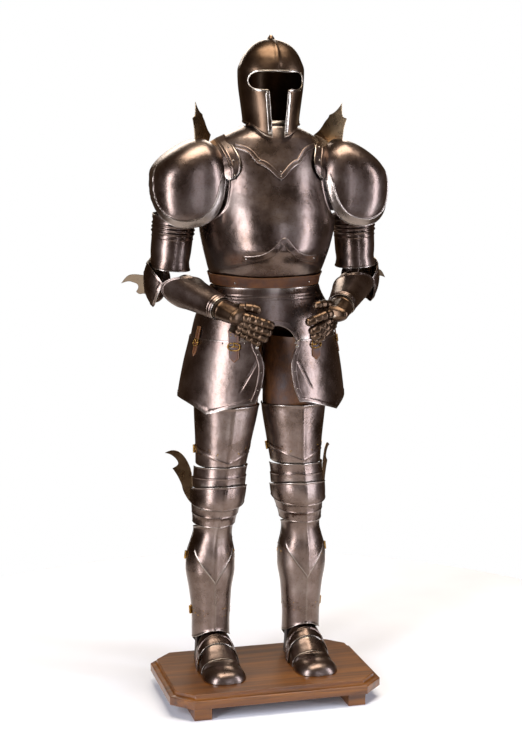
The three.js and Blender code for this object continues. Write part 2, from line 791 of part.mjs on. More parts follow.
function faceBlock(grow) {
  const block = new THREE.ExtrudeGeometry(faceOutline(grow), {
    depth: 200, bevelEnabled: false, curveSegments: 3,
  });
  block.rotateX(Math.PI / 2);
  block.translate(0, -40, 0);
  return block;
}
const helmetRim = solidOf(helmetShell(1.3, plateThick + 1.3, 22, 8)).intersect(solidOf(faceBlock(13)));
const helmetWhole = solidOf(helmetShell(0, plateThick, 22, 8)).add(helmetRim);
addPiece('helmet', geometryOf(helmetWhole.subtract(solidOf(faceBlock(0)))), darkSteel);

// Shoulders: plates of one rounded form, each a cap spread from its own middle direction
const shoulder = [234, -10, 1508];
const shoulderReach = [112, 114, 138];
const shoulderFull = 0.84;

function shoulderPoint(direction, out = 0) {
  return shoulder.map((value, k) => (
    value + (shoulderReach[k] + out) * signedPower(direction[k], shoulderFull)
  ));
}

function capOf(centre, reach, full, pole, spread, out, columns, rows, raise = null) {
  const axis = unit(pole);
  const up = unit(add([0, 0, 1], axis, -axis[2]));
  const side = cross(up, axis);
  const flipSide = dot(side, [1, 0, 0]) < 0 ? -1 : 1;
  const outer = (u, v) => {
    const turn = u * 2 * Math.PI;
    const away = rad(spread(turn)) * v;
    const planar = add(
      side.map((c) => c * Math.cos(turn) * flipSide), up, Math.sin(turn),
    );
    const direction = unit(add(planar.map((c) => c * Math.sin(away)), axis, Math.cos(away)));
    return centre.map((value, k) => value + (reach[k] + out) * signedPower(direction[k], full));
  };
  return plateGeometry(outer, columns, rows, { ring: true, pole: true, flip: flipSide > 0, raise });
}

// Spread of the shoulder plates from their middle, in degrees
const frontSpread = tableCurve([
  // turn from the outer side and then up, spread
  [0, 82],
  [45, 92],
  [90, 94],
  [135, 82],
  [180, 51],
  [225, 45],
  [270, 49],
  [315, 60],
  [360, 82],
]);
const rearSpread = tableCurve([
  // turn from the outer side and then up, spread
  [0, 90],
  [45, 90],
  [90, 86],
  [135, 73.1],
  [180, 45],
  [225, 38],
  [270, 33],
  [315, 35],
  [360, 88],
]);
const ofTurn = (table) => (turn) => table(turn * 180 / Math.PI)[1];
addPair('pauldron', capOf(
  shoulder, shoulderReach, shoulderFull, [0.08, -1, 0], ofTurn(frontSpread), 0, 18, 4,
  (u, v) => 1.8 * clamp((v - 0.7) / 0.06, 0, 1) * clamp(Math.cos((u - 0.72) * 2 * Math.PI) * 4 + 2, 0, 1),
), steel);
addPair('pauldron_rear', capOf(
  shoulder, shoulderReach, shoulderFull, [0.08, 1, 0], ofTurn(rearSpread), -6.4, 14, 3,
), steel);

// Two stepped lames close the shoulder toward the neck
addPair('pauldron_neck_lame', plateGeometry((u, v) => {
  const away = rad(mix(47, 60, v));
  const turn = rad(mix(30, 150, u));
  const out = v < 0.5 ? -9.8 : -11.8;
  return shoulderPoint([
    -Math.sin(away), -Math.cos(away) * Math.cos(turn), Math.cos(away) * Math.sin(turn),
  ], out);
}, 8, 2), steel);

// The standing shoulder guard: a thin upright plate with a toothed top edge
const finSeat = -0.6;
const finFront = [232, -44];
const finBack = [166, 34];
const finTop = tableCurve([
  // share of the length from the front, height of the top edge
  [0, 1676],
  [0.06, 1714],
  [0.12, 1750],
  [0.3, 1706],
  [0.42, 1724],
  [0.55, 1700],
  [0.75, 1672],
  [1, 1630],
]);
function finPoint(u, v) {
  const x = mix(finFront[0], finBack[0], u);
  const y = mix(finFront[1], finBack[1], u);
  const dx = (x - shoulder[0]) / shoulderReach[0];
  const dy = (y - shoulder[1]) / shoulderReach[1];
  const rest = 1 - Math.abs(dx) ** (2 / shoulderFull) - Math.abs(dy) ** (2 / shoulderFull);
  const base = shoulder[2] + finSeat + shoulderReach[2] * Math.max(0, rest) ** (shoulderFull / 2);
  const z = mix(base, finTop(u)[1], v);
  const flare = 10 * v * v;
  return [x + flare * 0.76, y + flare * 0.64, z];
}
addPair('pauldron_fin', plateGeometry(finPoint, 12, 1, { thick: 2 }), steel);

// A tube or part of one about a straight axis
function armTube(frame, line, from, to, start, end, columns, rows, ring, options = {}) {
  return plateGeometry((u, v) => {
    const angle = mix(rad(from), rad(to), u);
    const s = mix(start(angle), end(angle), v);
    const [, half, front, back] = line(s);
    const [x, y] = onSection(half, front, back, angle);
    return frame(x, y, s);
  }, columns, rows, { ring, ...options });
}

// Upper arm, with a raised turned band
const armTop = [262, 12, 1480];
const elbow = [283, 34, 1240];
const upperFrame = frameBetween(elbow, armTop);
const upperLine = tableCurve([
  [32, 61.1, 61.1, 61.1],
  [46, 57.6, 57.6, 57.6],
  [60, 55.5, 55.5, 55.5],
  [76, 57, 57, 57],
  [90, 58, 58, 58],
  [134, 59, 59, 59],
  [138, 62.5, 62.5, 62.5],
  [166, 62.5, 62.5, 62.5],
  [170, 60, 60, 60],
  [190, 63.6, 63.6, 63.6],
]);
addPair('rerebrace', armTube(
  upperFrame, upperLine, 0, 360, () => 36, () => 188, 14, 6, true,
), steel);

// Elbow: a domed cup that covers the outside and the back, with a horned wing
const elbowReach = [70, 72, 95];
const elbowWing = [
  // out along the wing, up
  [-10, 20], [12, 17], [34, 16], [50, 8], [64, -8], [50, -10], [34, -18],
  [24, -26], [27, -44], [30, -54], [16, -48], [0, -48], [-12, -40],
];
const elbowSpread = tableCurve([
  // turn from the outer side and then up, spread in degrees
  [0, 106],
  [45, 52],
  [90, 35],
  [135, 49],
  [180, 70],
  [225, 58],
  [270, 45],
  [315, 76],
  [360, 106],
]);
const couterCup = capOf(elbow, elbowReach, 1, [0.78, 0.62, 0], ofTurn(elbowSpread), 0, 14, 3);
const couterWing = wingPlate([337, 70, 1240], [0.83, 0.56], elbowWing, 2);
addPair('couter', geometryOf(solidOf(couterCup).add(solidOf(couterWing))), steel);

// Forearm: a tube with a flared and pointed cuff over it
const forearmFrom = [279, 18, 1236];
const wrist = [172, -165, 1178];
const forearmFrame = frameBetween(forearmFrom, wrist, [0, 0, 1]);
const vambraceLine = tableCurve([
  [30, 46, 44, 44],
  [110, 42, 38, 38],
  [205, 36.1, 31.9, 31.9],
]);
addPair('vambrace', armTube(
  forearmFrame, vambraceLine, 0, 360, () => 52, () => 204, 12, 2, true,
), darkSteel);
const cuffLine = tableCurve([
  [0, 58, 57, 56],
  [60, 52.6, 51.6, 50.6],
  [120, 48, 44, 43],
  [216, 38.5, 34, 34],
]);
const cuffShort = 92;
const cuffPoint = 70;
const cuffPointAt = rad(88);
function cuffEdge(a) {
  const away = Math.atan2(Math.sin(a - cuffPointAt), Math.cos(a - cuffPointAt));
  return cuffShort - cuffPoint * bump(away, 0, rad(62));
}
addPair('gauntlet_cuff', armTube(
  forearmFrame, cuffLine, 0, 360, cuffEdge, () => 216, 14, 3, true,
), steel);

// Hands: a flattened tube of plates from the wrist to the knuckles, with jointed fingers
function fingerTube(path, radius, columns = 5) {
  const steps = path.length - 1;
  const points = (u, v) => {
    const at = v * steps;
    const i = Math.min(steps - 1, Math.floor(at));
    const centre = path[i].map((c, k) => mix(c, path[i + 1][k], at - i));
    const frame = frameBetween(path[i], path[i + 1], [0.3, -0.6, 0.7]);
    const offset = sub(centre, path[i]);
    const along = Math.hypot(...offset);
    const r = radius * (1 - 0.12 * v) * (v > 0.999 ? 0.45 : 1);
    return frame(r * Math.cos(u * 2 * Math.PI), r * Math.sin(u * 2 * Math.PI), along);
  };
  return plateGeometry((u, v) => points(u, 1 - v), columns, steps, {
    ring: true, thick: 1.5, flip: true,
  });
}
const knuckles = [128, -214, 1160];
const palmFrame = frameBetween(wrist, knuckles, [0, 0, 1]);
const palmLine = tableCurve([
  [-10, 33.5, 28.8, 28.8],
  [30, 40, 23, 23],
  [66, 44, 18, 18],
]);
const palmTube = armTube(palmFrame, palmLine, 0, 360, () => -8, () => 66, 10, 2, true);

const fingerWays = {
  // for each hand: radius and the middle line of each finger, from the knuckle to the tip
  right: [
    [11.5, [[151, -198, 1167], [112, -226, 1160], [72, -232, 1146], [40, -230, 1134]]],
    [11.5, [[146, -192, 1154], [110, -216, 1141], [74, -226, 1126], [46, -226, 1114]]],
    [11, [[146, -180, 1140], [112, -204, 1124], [80, -216, 1108], [54, -218, 1096]]],
    [10, [[148, -172, 1128], [118, -192, 1110], [92, -204, 1094], [72, -208, 1084]]],
    [12, [[142, -186, 1182], [104, -206, 1186], [72, -216, 1176]]],
  ],
  left: [
    [11.5, [[151, -198, 1167], [112, -228, 1164], [76, -232, 1152], [52, -222, 1138]]],
    [11.5, [[146, -194, 1152], [112, -220, 1140], [82, -226, 1124], [66, -210, 1112]]],
    [11, [[146, -182, 1138], [116, -208, 1122], [90, -214, 1106], [76, -198, 1094]]],
    [10, [[148, -172, 1126], [122, -194, 1108], [100, -200, 1092], [88, -186, 1082]]],
    [12, [[142, -186, 1182], [106, -206, 1190], [76, -216, 1186]]],
  ],
};
for (const side of ['left', 'right']) {
  const fingers = fingerWays[side].map(([radius, path]) => fingerTube(path, radius));
  const hand = join([palmTube, ...fingers]);
  addPiece(`${side}_gauntlet_hand`, side === 'left' ? hand : mirrored(hand), darkSteel);
}

// Leather straps that carry the tassets over the seam
const strapX = 122;
const strapPath = (u) => [strapX, mix(1108, 1018, u)];
addPair('tasset_strap', bandOn(hipAt, strapPath, 26, tassetOut + 0.9, 4, leatherThick), leather);

// The origin is the middle of the base on the floor
const box = new THREE.Box3().setFromObject(suit);
const shift = [-(box.min.x + box.max.x) / 2, -(box.min.y + box.max.y) / 2, -box.min.z];
suit.children.forEach((mesh) => mesh.geometry.translate(...shift));

export default suit;
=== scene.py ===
# A full suit of plate armour on its plinth, for the render. Run in Blender.
import math
import bpy
import bmesh
from mathutils import Vector, Matrix
from mathutils.kdtree import KDTree


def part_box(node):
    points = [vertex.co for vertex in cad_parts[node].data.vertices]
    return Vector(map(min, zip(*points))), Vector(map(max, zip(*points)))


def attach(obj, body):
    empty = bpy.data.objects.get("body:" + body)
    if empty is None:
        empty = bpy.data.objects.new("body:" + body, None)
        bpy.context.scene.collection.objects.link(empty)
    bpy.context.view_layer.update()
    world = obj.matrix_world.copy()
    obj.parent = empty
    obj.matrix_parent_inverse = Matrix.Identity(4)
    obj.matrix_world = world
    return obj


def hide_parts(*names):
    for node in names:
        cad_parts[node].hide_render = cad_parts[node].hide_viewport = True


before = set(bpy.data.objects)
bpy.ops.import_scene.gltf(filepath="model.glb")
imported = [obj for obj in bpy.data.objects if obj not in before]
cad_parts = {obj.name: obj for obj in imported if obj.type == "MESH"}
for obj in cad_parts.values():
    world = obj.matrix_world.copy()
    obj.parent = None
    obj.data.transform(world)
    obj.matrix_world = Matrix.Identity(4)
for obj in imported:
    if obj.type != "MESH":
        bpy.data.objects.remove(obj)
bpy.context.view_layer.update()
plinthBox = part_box("plinth_board")
shiftY = (plinthBox[0][1] + plinthBox[1][1]) / 2     # middle of the plinth, in metres
scene = bpy.context.scene
mm = 0.001
rad = math.radians
bothSides = (("left", False), ("right", True))     # the right side is mirrored


def clamp(x, low, high):
    return min(high, max(low, x))


def mix(a, b, t):
    return a + (b - a) * t


def smooth(t):
    return t * t * (3 - 2 * t)


def bump(x, middle, width):
    return math.exp(-((x - middle) / width) ** 2)


def signedPower(x, p):
    return math.copysign(abs(x) ** p, x)


def tableCurve(rows):
    # reads a table by its first column, on a smooth curve that doesn't overshoot its rows
    slopes = []
    for i, row in enumerate(rows):
        before, after = rows[max(0, i - 1)], rows[min(len(rows) - 1, i + 1)]
        line = []
        for k in range(len(row)):
            rise = (after[k] - before[k]) / (after[0] - before[0])
            if 0 < i < len(rows) - 1:
                left = (row[k] - before[k]) / (row[0] - before[0])
                right = (after[k] - row[k]) / (after[0] - row[0])
                most = 2.5 * min(abs(left), abs(right))
                rise = 0 if left * right <= 0 else math.copysign(min(abs(rise), most), rise)
            line.append(rise)
        slopes.append(line)

    def read(key):
        x = clamp(key, rows[0][0], rows[-1][0])
        i = 0
        while i < len(rows) - 2 and x > rows[i + 1][0]:
            i += 1
        span = rows[i + 1][0] - rows[i][0]
        t = (x - rows[i][0]) / span
        h1, h2 = 2 * t ** 3 - 3 * t ** 2 + 1, t ** 3 - 2 * t ** 2 + t
        h3, h4 = -2 * t ** 3 + 3 * t ** 2, t ** 3 - t ** 2
        return [h1 * a + h2 * span * m + h3 * b + h4 * span * n
                for a, m, b, n in zip(rows[i], slopes[i], rows[i + 1], slopes[i + 1])]

    return read


def onSection(half, front, back, angle, power=1.0):
    # a point on a rounded section; the angle starts at the front and -Y is the front
    c = math.cos(angle)
    return (half * signedPower(math.sin(angle), power),
            -(front if c > 0 else back) * signedPower(c, power))


# Materials: worn parts come from the "worn" attribute, which is 1 at a plate's edge
def toLinear(hexText):
    parts = [int(hexText[i:i + 2], 16) / 255 for i in (1, 3, 5)]
    return [c / 12.92 if c <= 0.04045 else ((c + 0.055) / 1.055) ** 2.4 for c in parts] + [1.0]


def addNode(tree, kind, settings=None, links=None):
    node = tree.nodes.new(kind)
    for key, value in (settings or {}).items():
        if key == "stops":
            elements = node.color_ramp.elements
            elements[0].position, elements[1].position = value[0][0], value[-1][0]
            for position, _ in value[1:-1]:
                elements.new(position)
            for element, (_, colour) in zip(elements, value):
                element.color = toLinear(colour)
        elif isinstance(key, int) or key in node.inputs.keys():
            node.inputs[key].default_value = value
        else:
            setattr(node, key, value)
    for key, source in (links or {}).items():
        tree.links.new(source, node.inputs[key])
    return node


def newMaterial(name):
    material = bpy.data.materials.new(name)
    material.use_nodes = True
    tree = material.node_tree
    tree.nodes.clear()
    out = addNode(tree, "ShaderNodeOutputMaterial")
    shader = addNode(tree, "ShaderNodeBsdfPrincipled")
    tree.links.new(shader.outputs[0], out.inputs[0])
    return material, tree, shader


def steelMaterial(name, look):
    material, tree, shader = newMaterial(name)
    where = addNode(tree, "ShaderNodeTexCoord").outputs["Object"]
    # patina lies in clouds of cloudSize, stains in spots of spotSize, both in metres
    clouds = addNode(tree, "ShaderNodeTexNoise", {"Scale": 1 / look["cloudSize"], "Detail": 6.0,
                     "Roughness": 0.62}, {"Vector": where})
    spots = addNode(tree, "ShaderNodeTexNoise", {"Scale": 1 / look["spotSize"], "Detail": 5.0,
                    "Roughness": 0.7}, {"Vector": where})
    tone = addNode(tree, "ShaderNodeValToRGB", {"stops": [
        (0.30, look["dark"]), (0.50, look["main"]), (0.72, look["light"])]}, {0: clouds.outputs[0]})
    spotShare = addNode(tree, "ShaderNodeMapRange", {"From Min": 0.52, "From Max": 0.70,
                        "To Max": look["stain"]}, {"Value": spots.outputs[0]})
    stained = addNode(tree, "ShaderNodeMix", {"data_type": "RGBA", 7: toLinear(look["rust"])},
                      {0: spotShare.outputs[0], 6: tone.outputs[0]})
    worn = addNode(tree, "ShaderNodeAttribute", {"attribute_name": "worn"})
    wornShare = addNode(tree, "ShaderNodeMath", {"operation": "MULTIPLY", 1: look["wear"]},
                        {0: worn.outputs["Fac"]})
    colour = addNode(tree, "ShaderNodeMix", {"data_type": "RGBA", 7: toLinear(look["bright"])},
                     {0: wornShare.outputs[0], 6: stained.outputs[2]})
    tree.links.new(colour.outputs[2], shader.inputs["Base Color"])
    shader.inputs["Metallic"].default_value = 1.0
    gloss = addNode(tree, "ShaderNodeMapRange", {"From Min": 0.3, "From Max": 0.75,
                    "To Min": look["smoothest"], "To Max": look["roughest"]},
                    {"Value": clouds.outputs[0]})
    tree.links.new(gloss.outputs[0], shader.inputs["Roughness"])
    # planishing hammer marks, the slow waves under them, and pits where it has rusted
    marks = addNode(tree, "ShaderNodeTexVoronoi", {"Scale": 1 / look["hammerSize"],
                    "feature": "SMOOTH_F1", "Smoothness": 0.8}, {"Vector": where})
    waves = addNode(tree, "ShaderNodeTexNoise", {"Scale": 1 / (2.6 * look["hammerSize"]),
                    "Detail": 2.0}, {"Vector": where})
    hammered = addNode(tree, "ShaderNodeBump", {"Strength": look["hammer"], "Distance": 0.0012},
                       {"Height": marks.outputs[0]})
    waved = addNode(tree, "ShaderNodeBump", {"Strength": look["waves"], "Distance": 0.006},
                    {"Height": waves.outputs[0], "Normal": hammered.outputs[0]})
    pitted = addNode(tree, "ShaderNodeBump", {"Strength": 0.16, "Distance": 0.0005},
                     {"Height": spots.outputs[0], "Normal": waved.outputs[0]})
    tree.links.new(pitted.outputs[0], shader.inputs["Normal"])
    return material


# mild steel, planished and polished by hand, then browned with age: soft, wavy reflections
agedSteel = steelMaterial("mildSteelHammeredAndBrowned", {
    "dark": "#54453b", "main": "#736258", "light": "#87786d", "rust": "#5a412b",
    "bright": "#b9ae9f", "cloudSize": 0.11, "spotSize": 0.005, "stain": 0.6, "wear": 0.55,
    "smoothest": 0.23, "roughest": 0.38, "hammerSize": 0.015, "hammer": 0.16, "waves": 0.14})
# the same steel left darker from the fire: deeper brown, sharper reflections
darkSteel = steelMaterial("mildSteelDarkFromTheFire", {
    "dark": "#38291d", "main": "#513f30", "light": "#634f3e", "rust": "#3f2b1b",
    "bright": "#bfae98", "cloudSize": 0.09, "spotSize": 0.006, "stain": 0.45, "wear": 0.7,
    "smoothest": 0.26, "roughest": 0.40, "hammerSize": 0.014, "hammer": 0.12, "waves": 0.08})
# steel filed bright, as on the strips round the face and the rivets: the clearest mirror
brightSteel = steelMaterial("mildSteelFiledBright", {
    "dark": "#6b5f53", "main": "#93887b", "light": "#aca193", "rust": "#6d5441",
    "bright": "#cfc6b8", "cloudSize": 0.05, "spotSize": 0.005, "stain": 0.35, "wear": 0.5,
    "smoothest": 0.16, "roughest": 0.30, "hammerSize": 0.012, "hammer": 0.12, "waves": 0.08})
# thin steel left rough from the hammer, as on the horned elbows: a dark, broad, soft sheen
roughSteel = steelMaterial("mildSteelRoughFromTheHammer", {
    "dark": "#33261a", "main": "#4f3d2b", "light": "#66513a", "rust": "#3d2a1b",
    "bright": "#9a8a72", "cloudSize": 0.05, "spotSize": 0.006, "stain": 0.4, "wear": 0.6,
    "smoothest": 0.52, "roughest": 0.64, "hammerSize": 0.014, "hammer": 0.18, "waves": 0.10})
# thin steel drawn to a straw-brown temper, as on the knee wings and the toothed guards
strawSteel = steelMaterial("mildSteelTemperedStraw", {
    "dark": "#5b4630", "main": "#8a7050", "light": "#a58a66", "rust": "#5a3f28",
    "bright": "#d6c3a0", "cloudSize": 0.05, "spotSize": 0.006, "stain": 0.4, "wear": 0.6,
    "smoothest": 0.22, "roughest": 0.36, "hammerSize": 0.014, "hammer": 0.14, "waves": 0.10})
# cast brass, handled and dull: warm, darker in the hollows
agedBrass = steelMaterial("castBrassAged", {
    "dark": "#6a4a20", "main": "#96713a", "light": "#b58f50", "rust": "#4a3518",
    "bright": "#dcc080", "cloudSize": 0.012, "spotSize": 0.004, "stain": 0.5, "wear": 0.6,
    "smoothest": 0.22, "roughest": 0.42, "hammerSize": 0.006, "hammer": 0.15, "waves": 0.1})


def leatherMaterial(name, look):
    material, tree, shader = newMaterial(name)
    where = addNode(tree, "ShaderNodeTexCoord").outputs["Object"]
    # hide grain is about 2 mm, drawn at 3.5 mm so that it shows; tone and creases at 35 mm
    grain = addNode(tree, "ShaderNodeTexVoronoi", {"Scale": 1 / 0.0035}, {"Vector": where})
    clouds = addNode(tree, "ShaderNodeTexNoise", {"Scale": 1 / 0.035, "Detail": 7.0,
                     "Roughness": 0.65}, {"Vector": where})
    tone = addNode(tree, "ShaderNodeValToRGB", {"stops": [
        (0.28, look["dark"]), (0.5, look["main"]), (0.75, look["light"])]}, {0: clouds.outputs[0]})
    worn = addNode(tree, "ShaderNodeAttribute", {"attribute_name": "worn"})
    wornShare = addNode(tree, "ShaderNodeMath", {"operation": "MULTIPLY", 1: 0.6},
                        {0: worn.outputs["Fac"]})
    colour = addNode(tree, "ShaderNodeMix", {"data_type": "RGBA", 7: toLinear(look["edge"])},
                     {0: wornShare.outputs[0], 6: tone.outputs[0]})
    tree.links.new(colour.outputs[2], shader.inputs["Base Color"])
    gloss = addNode(tree, "ShaderNodeMapRange", {"From Min": 0.3, "From Max": 0.7,
                    "To Min": 0.42, "To Max": 0.68}, {"Value": clouds.outputs[0]})
    tree.links.new(gloss.outputs[0], shader.inputs["Roughness"])
    shader.inputs["IOR"].default_value = 1.5
    creased = addNode(tree, "ShaderNodeBump", {"Strength": 0.5, "Distance": 0.002},
                      {"Height": clouds.outputs[0]})
    grained = addNode(tree, "ShaderNodeBump", {"Strength": 0.35, "Distance": 0.0006},
                      {"Height": grain.outputs[0], "Normal": creased.outputs[0]})
    tree.links.new(grained.outputs[0], shader.inputs["Normal"])
    return material


# vegetable tanned hide, oiled: even satin, red-brown, darker where it was handled
strapLeather = leatherMaterial("leatherTannedStrap", {
    "dark": "#2c1505", "main": "#4c270a", "light": "#663a11", "edge": "#74481c"})
# the softer hide under the plates, nearly matt
thighLeather = leatherMaterial("leatherSoftThigh", {
    "dark": "#321905", "main": "#56300d", "light": "#6e4216", "edge": "#7a4f24"})
# black-brown hide behind the foot, partly painted shade: its near-black colour stands in for the
# shadow behind the heel
heelLeatherWithPaintedShade = leatherMaterial("leatherDarkHeelWithPaintedShade", {
    "dark": "#17110e", "main": "#2b211b", "light": "#41342b", "edge": "#5a493c"})


def woodMaterial(name, look):
    material, tree, shader = newMaterial(name)
    where = addNode(tree, "ShaderNodeTexCoord").outputs["Object"]
    # grain runs along X: bands 25 mm wide and 450 mm long, pores 2.4 mm wide and 80 mm long
    along = addNode(tree, "ShaderNodeMapping", {"Scale": (2.2, 40.0, 40.0)}, {"Vector": where})
    flow = addNode(tree, "ShaderNodeTexNoise", {"Scale": 1.0, "Detail": 8.0, "Roughness": 0.6,
                   "Distortion": 0.6}, {"Vector": along.outputs[0]})
    fine = addNode(tree, "ShaderNodeMapping", {"Scale": (12.0, 420.0, 420.0)}, {"Vector": where})
    pores = addNode(tree, "ShaderNodeTexNoise", {"Scale": 1.0, "Detail": 3.0},
                    {"Vector": fine.outputs[0]})
    tone = addNode(tree, "ShaderNodeValToRGB", {"stops": [
        (0.30, look["dark"]), (0.50, look["main"]), (0.72, look["light"])]}, {0: flow.outputs[0]})
    poreShare = addNode(tree, "ShaderNodeMapRange", {"From Min": 0.56, "From Max": 0.7,
                        "To Max": 0.55}, {"Value": pores.outputs[0]})
    colour = addNode(tree, "ShaderNodeMix", {"data_type": "RGBA", 7: toLinear(look["pore"])},
                     {0: poreShare.outputs[0], 6: tone.outputs[0]})
    tree.links.new(colour.outputs[2], shader.inputs["Base Color"])
    shader.inputs["Roughness"].default_value = 0.38
    shader.inputs["IOR"].default_value = 1.5
    shader.inputs["Coat Weight"].default_value = 0.35
    shader.inputs["Coat Roughness"].default_value = 0.22
    raised = addNode(tree, "ShaderNodeBump", {"Strength": 0.25, "Distance": 0.0006},
                     {"Height": pores.outputs[0]})
    tree.links.new(raised.outputs[0], shader.inputs["Normal"])
    return material


# hardwood, stained mid brown and waxed: the grain shows through a soft shine
plinthWood = woodMaterial("hardwoodStainedAndWaxed", {
    "dark": "#412105", "main": "#683905", "light": "#87500b", "pore": "#291403"})

print("materials are made")

# Plates: a grid is bent to the form of its plate, then given its wall and a soft edge
plateWall, hideWall = 1.6, 2.4
fewFaces, keptShare = 2000, 0.2     # a plate of more faces keeps this share of them


def objectFrom(bm, name):
    mesh = bpy.data.meshes.new(name)
    bm.to_mesh(mesh)
    bm.free()
    return bpy.data.objects.new(name, mesh)


def softEdge(obj, width, segments=2, angle=30):
    soft = obj.modifiers.new("Edge", "BEVEL")
    soft.width, soft.segments = width * mm, segments
    soft.limit_method, soft.angle_limit = "ANGLE", rad(angle)


def toSide(bm, mirror, flip=False):
    # to the other side if asked, onto the middle of the plinth, and faces outward
    if mirror:
        bmesh.ops.scale(bm, vec=(-1, 1, 1), verts=bm.verts)
    bmesh.ops.translate(bm, vec=(0, shiftY, 0), verts=bm.verts)
    if flip != mirror:
        bmesh.ops.reverse_faces(bm, faces=bm.faces)


def finishPiece(obj, material, slotName, nodes=()):
    obj.data.materials.append(material)
    scene.collection.objects.link(obj)
    if nodes:
        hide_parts(*nodes)
    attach(obj, "root")
    return obj


def bentGrid(name, form, columns, rows, closed=False, flip=False, mirror=False,
             wall=plateWall, edge=0.45, wornWidth=4.0, cut=None, polish=None):
    # form gives the place in mm for two shares of the grid; wear fades wornWidth from the rim
    bm = bmesh.new()
    bmesh.ops.create_grid(bm, x_segments=columns, y_segments=rows, size=0.5)
    worn = bm.verts.layers.float.new("worn")
    for v in bm.verts:
        across, along = clamp(v.co.x + 0.5, 0, 1), clamp(v.co.y + 0.5, 0, 1)
        v[worn] = polish(across, along) if polish else 0.0
        v.co = Vector(form(across, along)) * mm
    if closed:
        bmesh.ops.remove_doubles(bm, verts=bm.verts, dist=0.00002)
    if cut:
        cut(bm)
    rim = [v.co.copy() for v in bm.verts if v.is_boundary]
    if rim and wornWidth:
        tree = KDTree(len(rim))
        for i, co in enumerate(rim):
            tree.insert(co, i)
        tree.balance()
        for v in bm.verts:
            v[worn] = max(v[worn], 1 - tree.find(v.co)[2] / mm / wornWidth)
    toSide(bm, mirror, flip)
    for f in bm.faces:
        f.smooth = True
    obj = objectFrom(bm, name)
    if len(obj.data.polygons) > fewFaces:
        # faces are merged where the plate is plain and kept along its beads and edges
        thin = obj.modifiers.new("Thin", "DECIMATE")
        thin.ratio = keptShare
    if wall:
        solid = obj.modifiers.new("Wall", "SOLIDIFY")
        solid.thickness = wall * mm
        solid.offset = -1
    if edge:
        softEdge(obj, edge, angle=50)
    return obj


def plate(name, material, slotName, form, columns, rows, nodes=(), **options):
    return finishPiece(bentGrid(name, form, columns, rows, **options), material, slotName, nodes)


def platePair(name, material, slotName, form, columns, rows, node=None, **options):
    for side, turned in bothSides:
        plate(f"{side}_{name}", material, slotName, form, columns, rows,
              (f"{side}_{node}",) if node else (), mirror=turned, **options)


def cutOpening(inside, outline, surface, reach):
    # takes the faces inside an outline in (x, z) away and draws the new edge onto the line
    def cut(bm):
        gone = [f for f in bm.faces
                if f.calc_center_median().y < reach * mm
                and inside(f.calc_center_median().x / mm, f.calc_center_median().z / mm)]
        before = {v for v in bm.verts if v.is_boundary}
        bmesh.ops.delete(bm, geom=gone, context="FACES")
        bmesh.ops.delete(bm, geom=[v for v in bm.verts if not v.link_faces], context="VERTS")
        tree = KDTree(len(outline))
        for i, (x, z) in enumerate(outline):
            tree.insert((x, 0, z), i)
        tree.balance()
        for v in bm.verts:
            if v.is_boundary and v not in before:
                x, _, z = tree.find((v.co.x / mm, 0, v.co.z / mm))[0]
                v.co = Vector(surface(x, z)) * mm
    return cut


def densePath(points, gap=0.6):
    # the same line with a point at every gap
    line = []
    for (x0, z0), (x1, z1) in zip(points, points[1:]):
        steps = max(1, int(math.hypot(x1 - x0, z1 - z0) / gap))
        line += [(mix(x0, x1, i / steps), mix(z0, z1, i / steps)) for i in range(steps)]
    return line + [points[-1]]


# A raised band laid on a surface: its middle line in (x, z), rolled over to both edges
def bandForm(surface, path, width, lift, high):
    def form(u, v):
        x, z = path(u)
        x0, z0 = path(clamp(u - 0.004, 0, 1))
        x1, z1 = path(clamp(u + 0.004, 0, 1))
        length = math.hypot(x1 - x0, z1 - z0) or 1
        ax, az = (x1 - x0) / length, (z1 - z0) / length
        w = width * (v - 0.5)
        crown = high * min(1, 6 * min(v, 1 - v)) ** 0.5
        crown += 0.8 * (bump(v, 0.12, 0.06) + bump(v, 0.88, 0.06))
        return surface(x - az * w, z + ax * w, lift + crown)
    return form


# Round-headed rivets, all those of one material in one mesh
rivetHeads = {}


def rivet(group, point, out, radius=2.6, high=1.5, both=True):
    # both: one on the other side of the suit too
    rivetHeads.setdefault(group, []).append((point, out, radius, high))
    if both:
        rivetHeads[group].append(((-point[0], point[1], point[2]),
                                  (-out[0], out[1], out[2]), radius, high))


def rivetOn(group, surface, a, b, lift=0.0, radius=2.6, high=1.5, both=True):
    p = Vector(surface(a, b, lift))
    q = Vector(surface(a, b, lift + 4))
    rivet(group, tuple(p), tuple((q - p).normalized()), radius, high, both)


def makeRivets(name, group, material, slotName):
    bm = bmesh.new()
    for point, out, radius, high in rivetHeads.get(group, []):
        turn = Vector((0, 0, 1)).rotation_difference(Vector(out)).to_matrix().to_4x4()
        place = Matrix.Translation(Vector(point) * mm + Vector((0, shiftY, 0)))
        size = Matrix.Diagonal((radius * mm, radius * mm, high * mm, 1))
        bmesh.ops.create_uvsphere(bm, u_segments=12, v_segments=6, radius=1,
                                  matrix=place @ turn @ size)
    for f in bm.faces:
        f.smooth = True
    finishPiece(objectFrom(bm, name), material, slotName)


# The plinth: an eight-sided board with a stepped and hollowed edge on two battens
plinth = {
    "halfWide": 300, "halfDeep": 184, "corner": 48,
    # out from the upper tier, height above the floor
    "edge": [(18, 37), (18, 59), (17.2, 60.6), (15.6, 61.6), (9, 62.3), (5, 63), (2.6, 64.2),
             (1, 66), (0.3, 69), (0, 73.4), (-0.5, 74.6), (-1.5, 75)],
    "battenWide": 52, "battenDeep": 384, "battenHigh": 36.6, "battenAt": 231,
}


def plinthLoop(out):
    # the cut corners grow with each step out, so that a step is as wide all round
    x, y = plinth["halfWide"] + out, plinth["halfDeep"] + out
    c = plinth["corner"] + out * (2 - math.sqrt(2))
    return [(x - c, -y), (x, -y + c), (x, y - c), (x - c, y),
            (-x + c, y), (-x, y - c), (-x, -y + c), (-x + c, -y)]


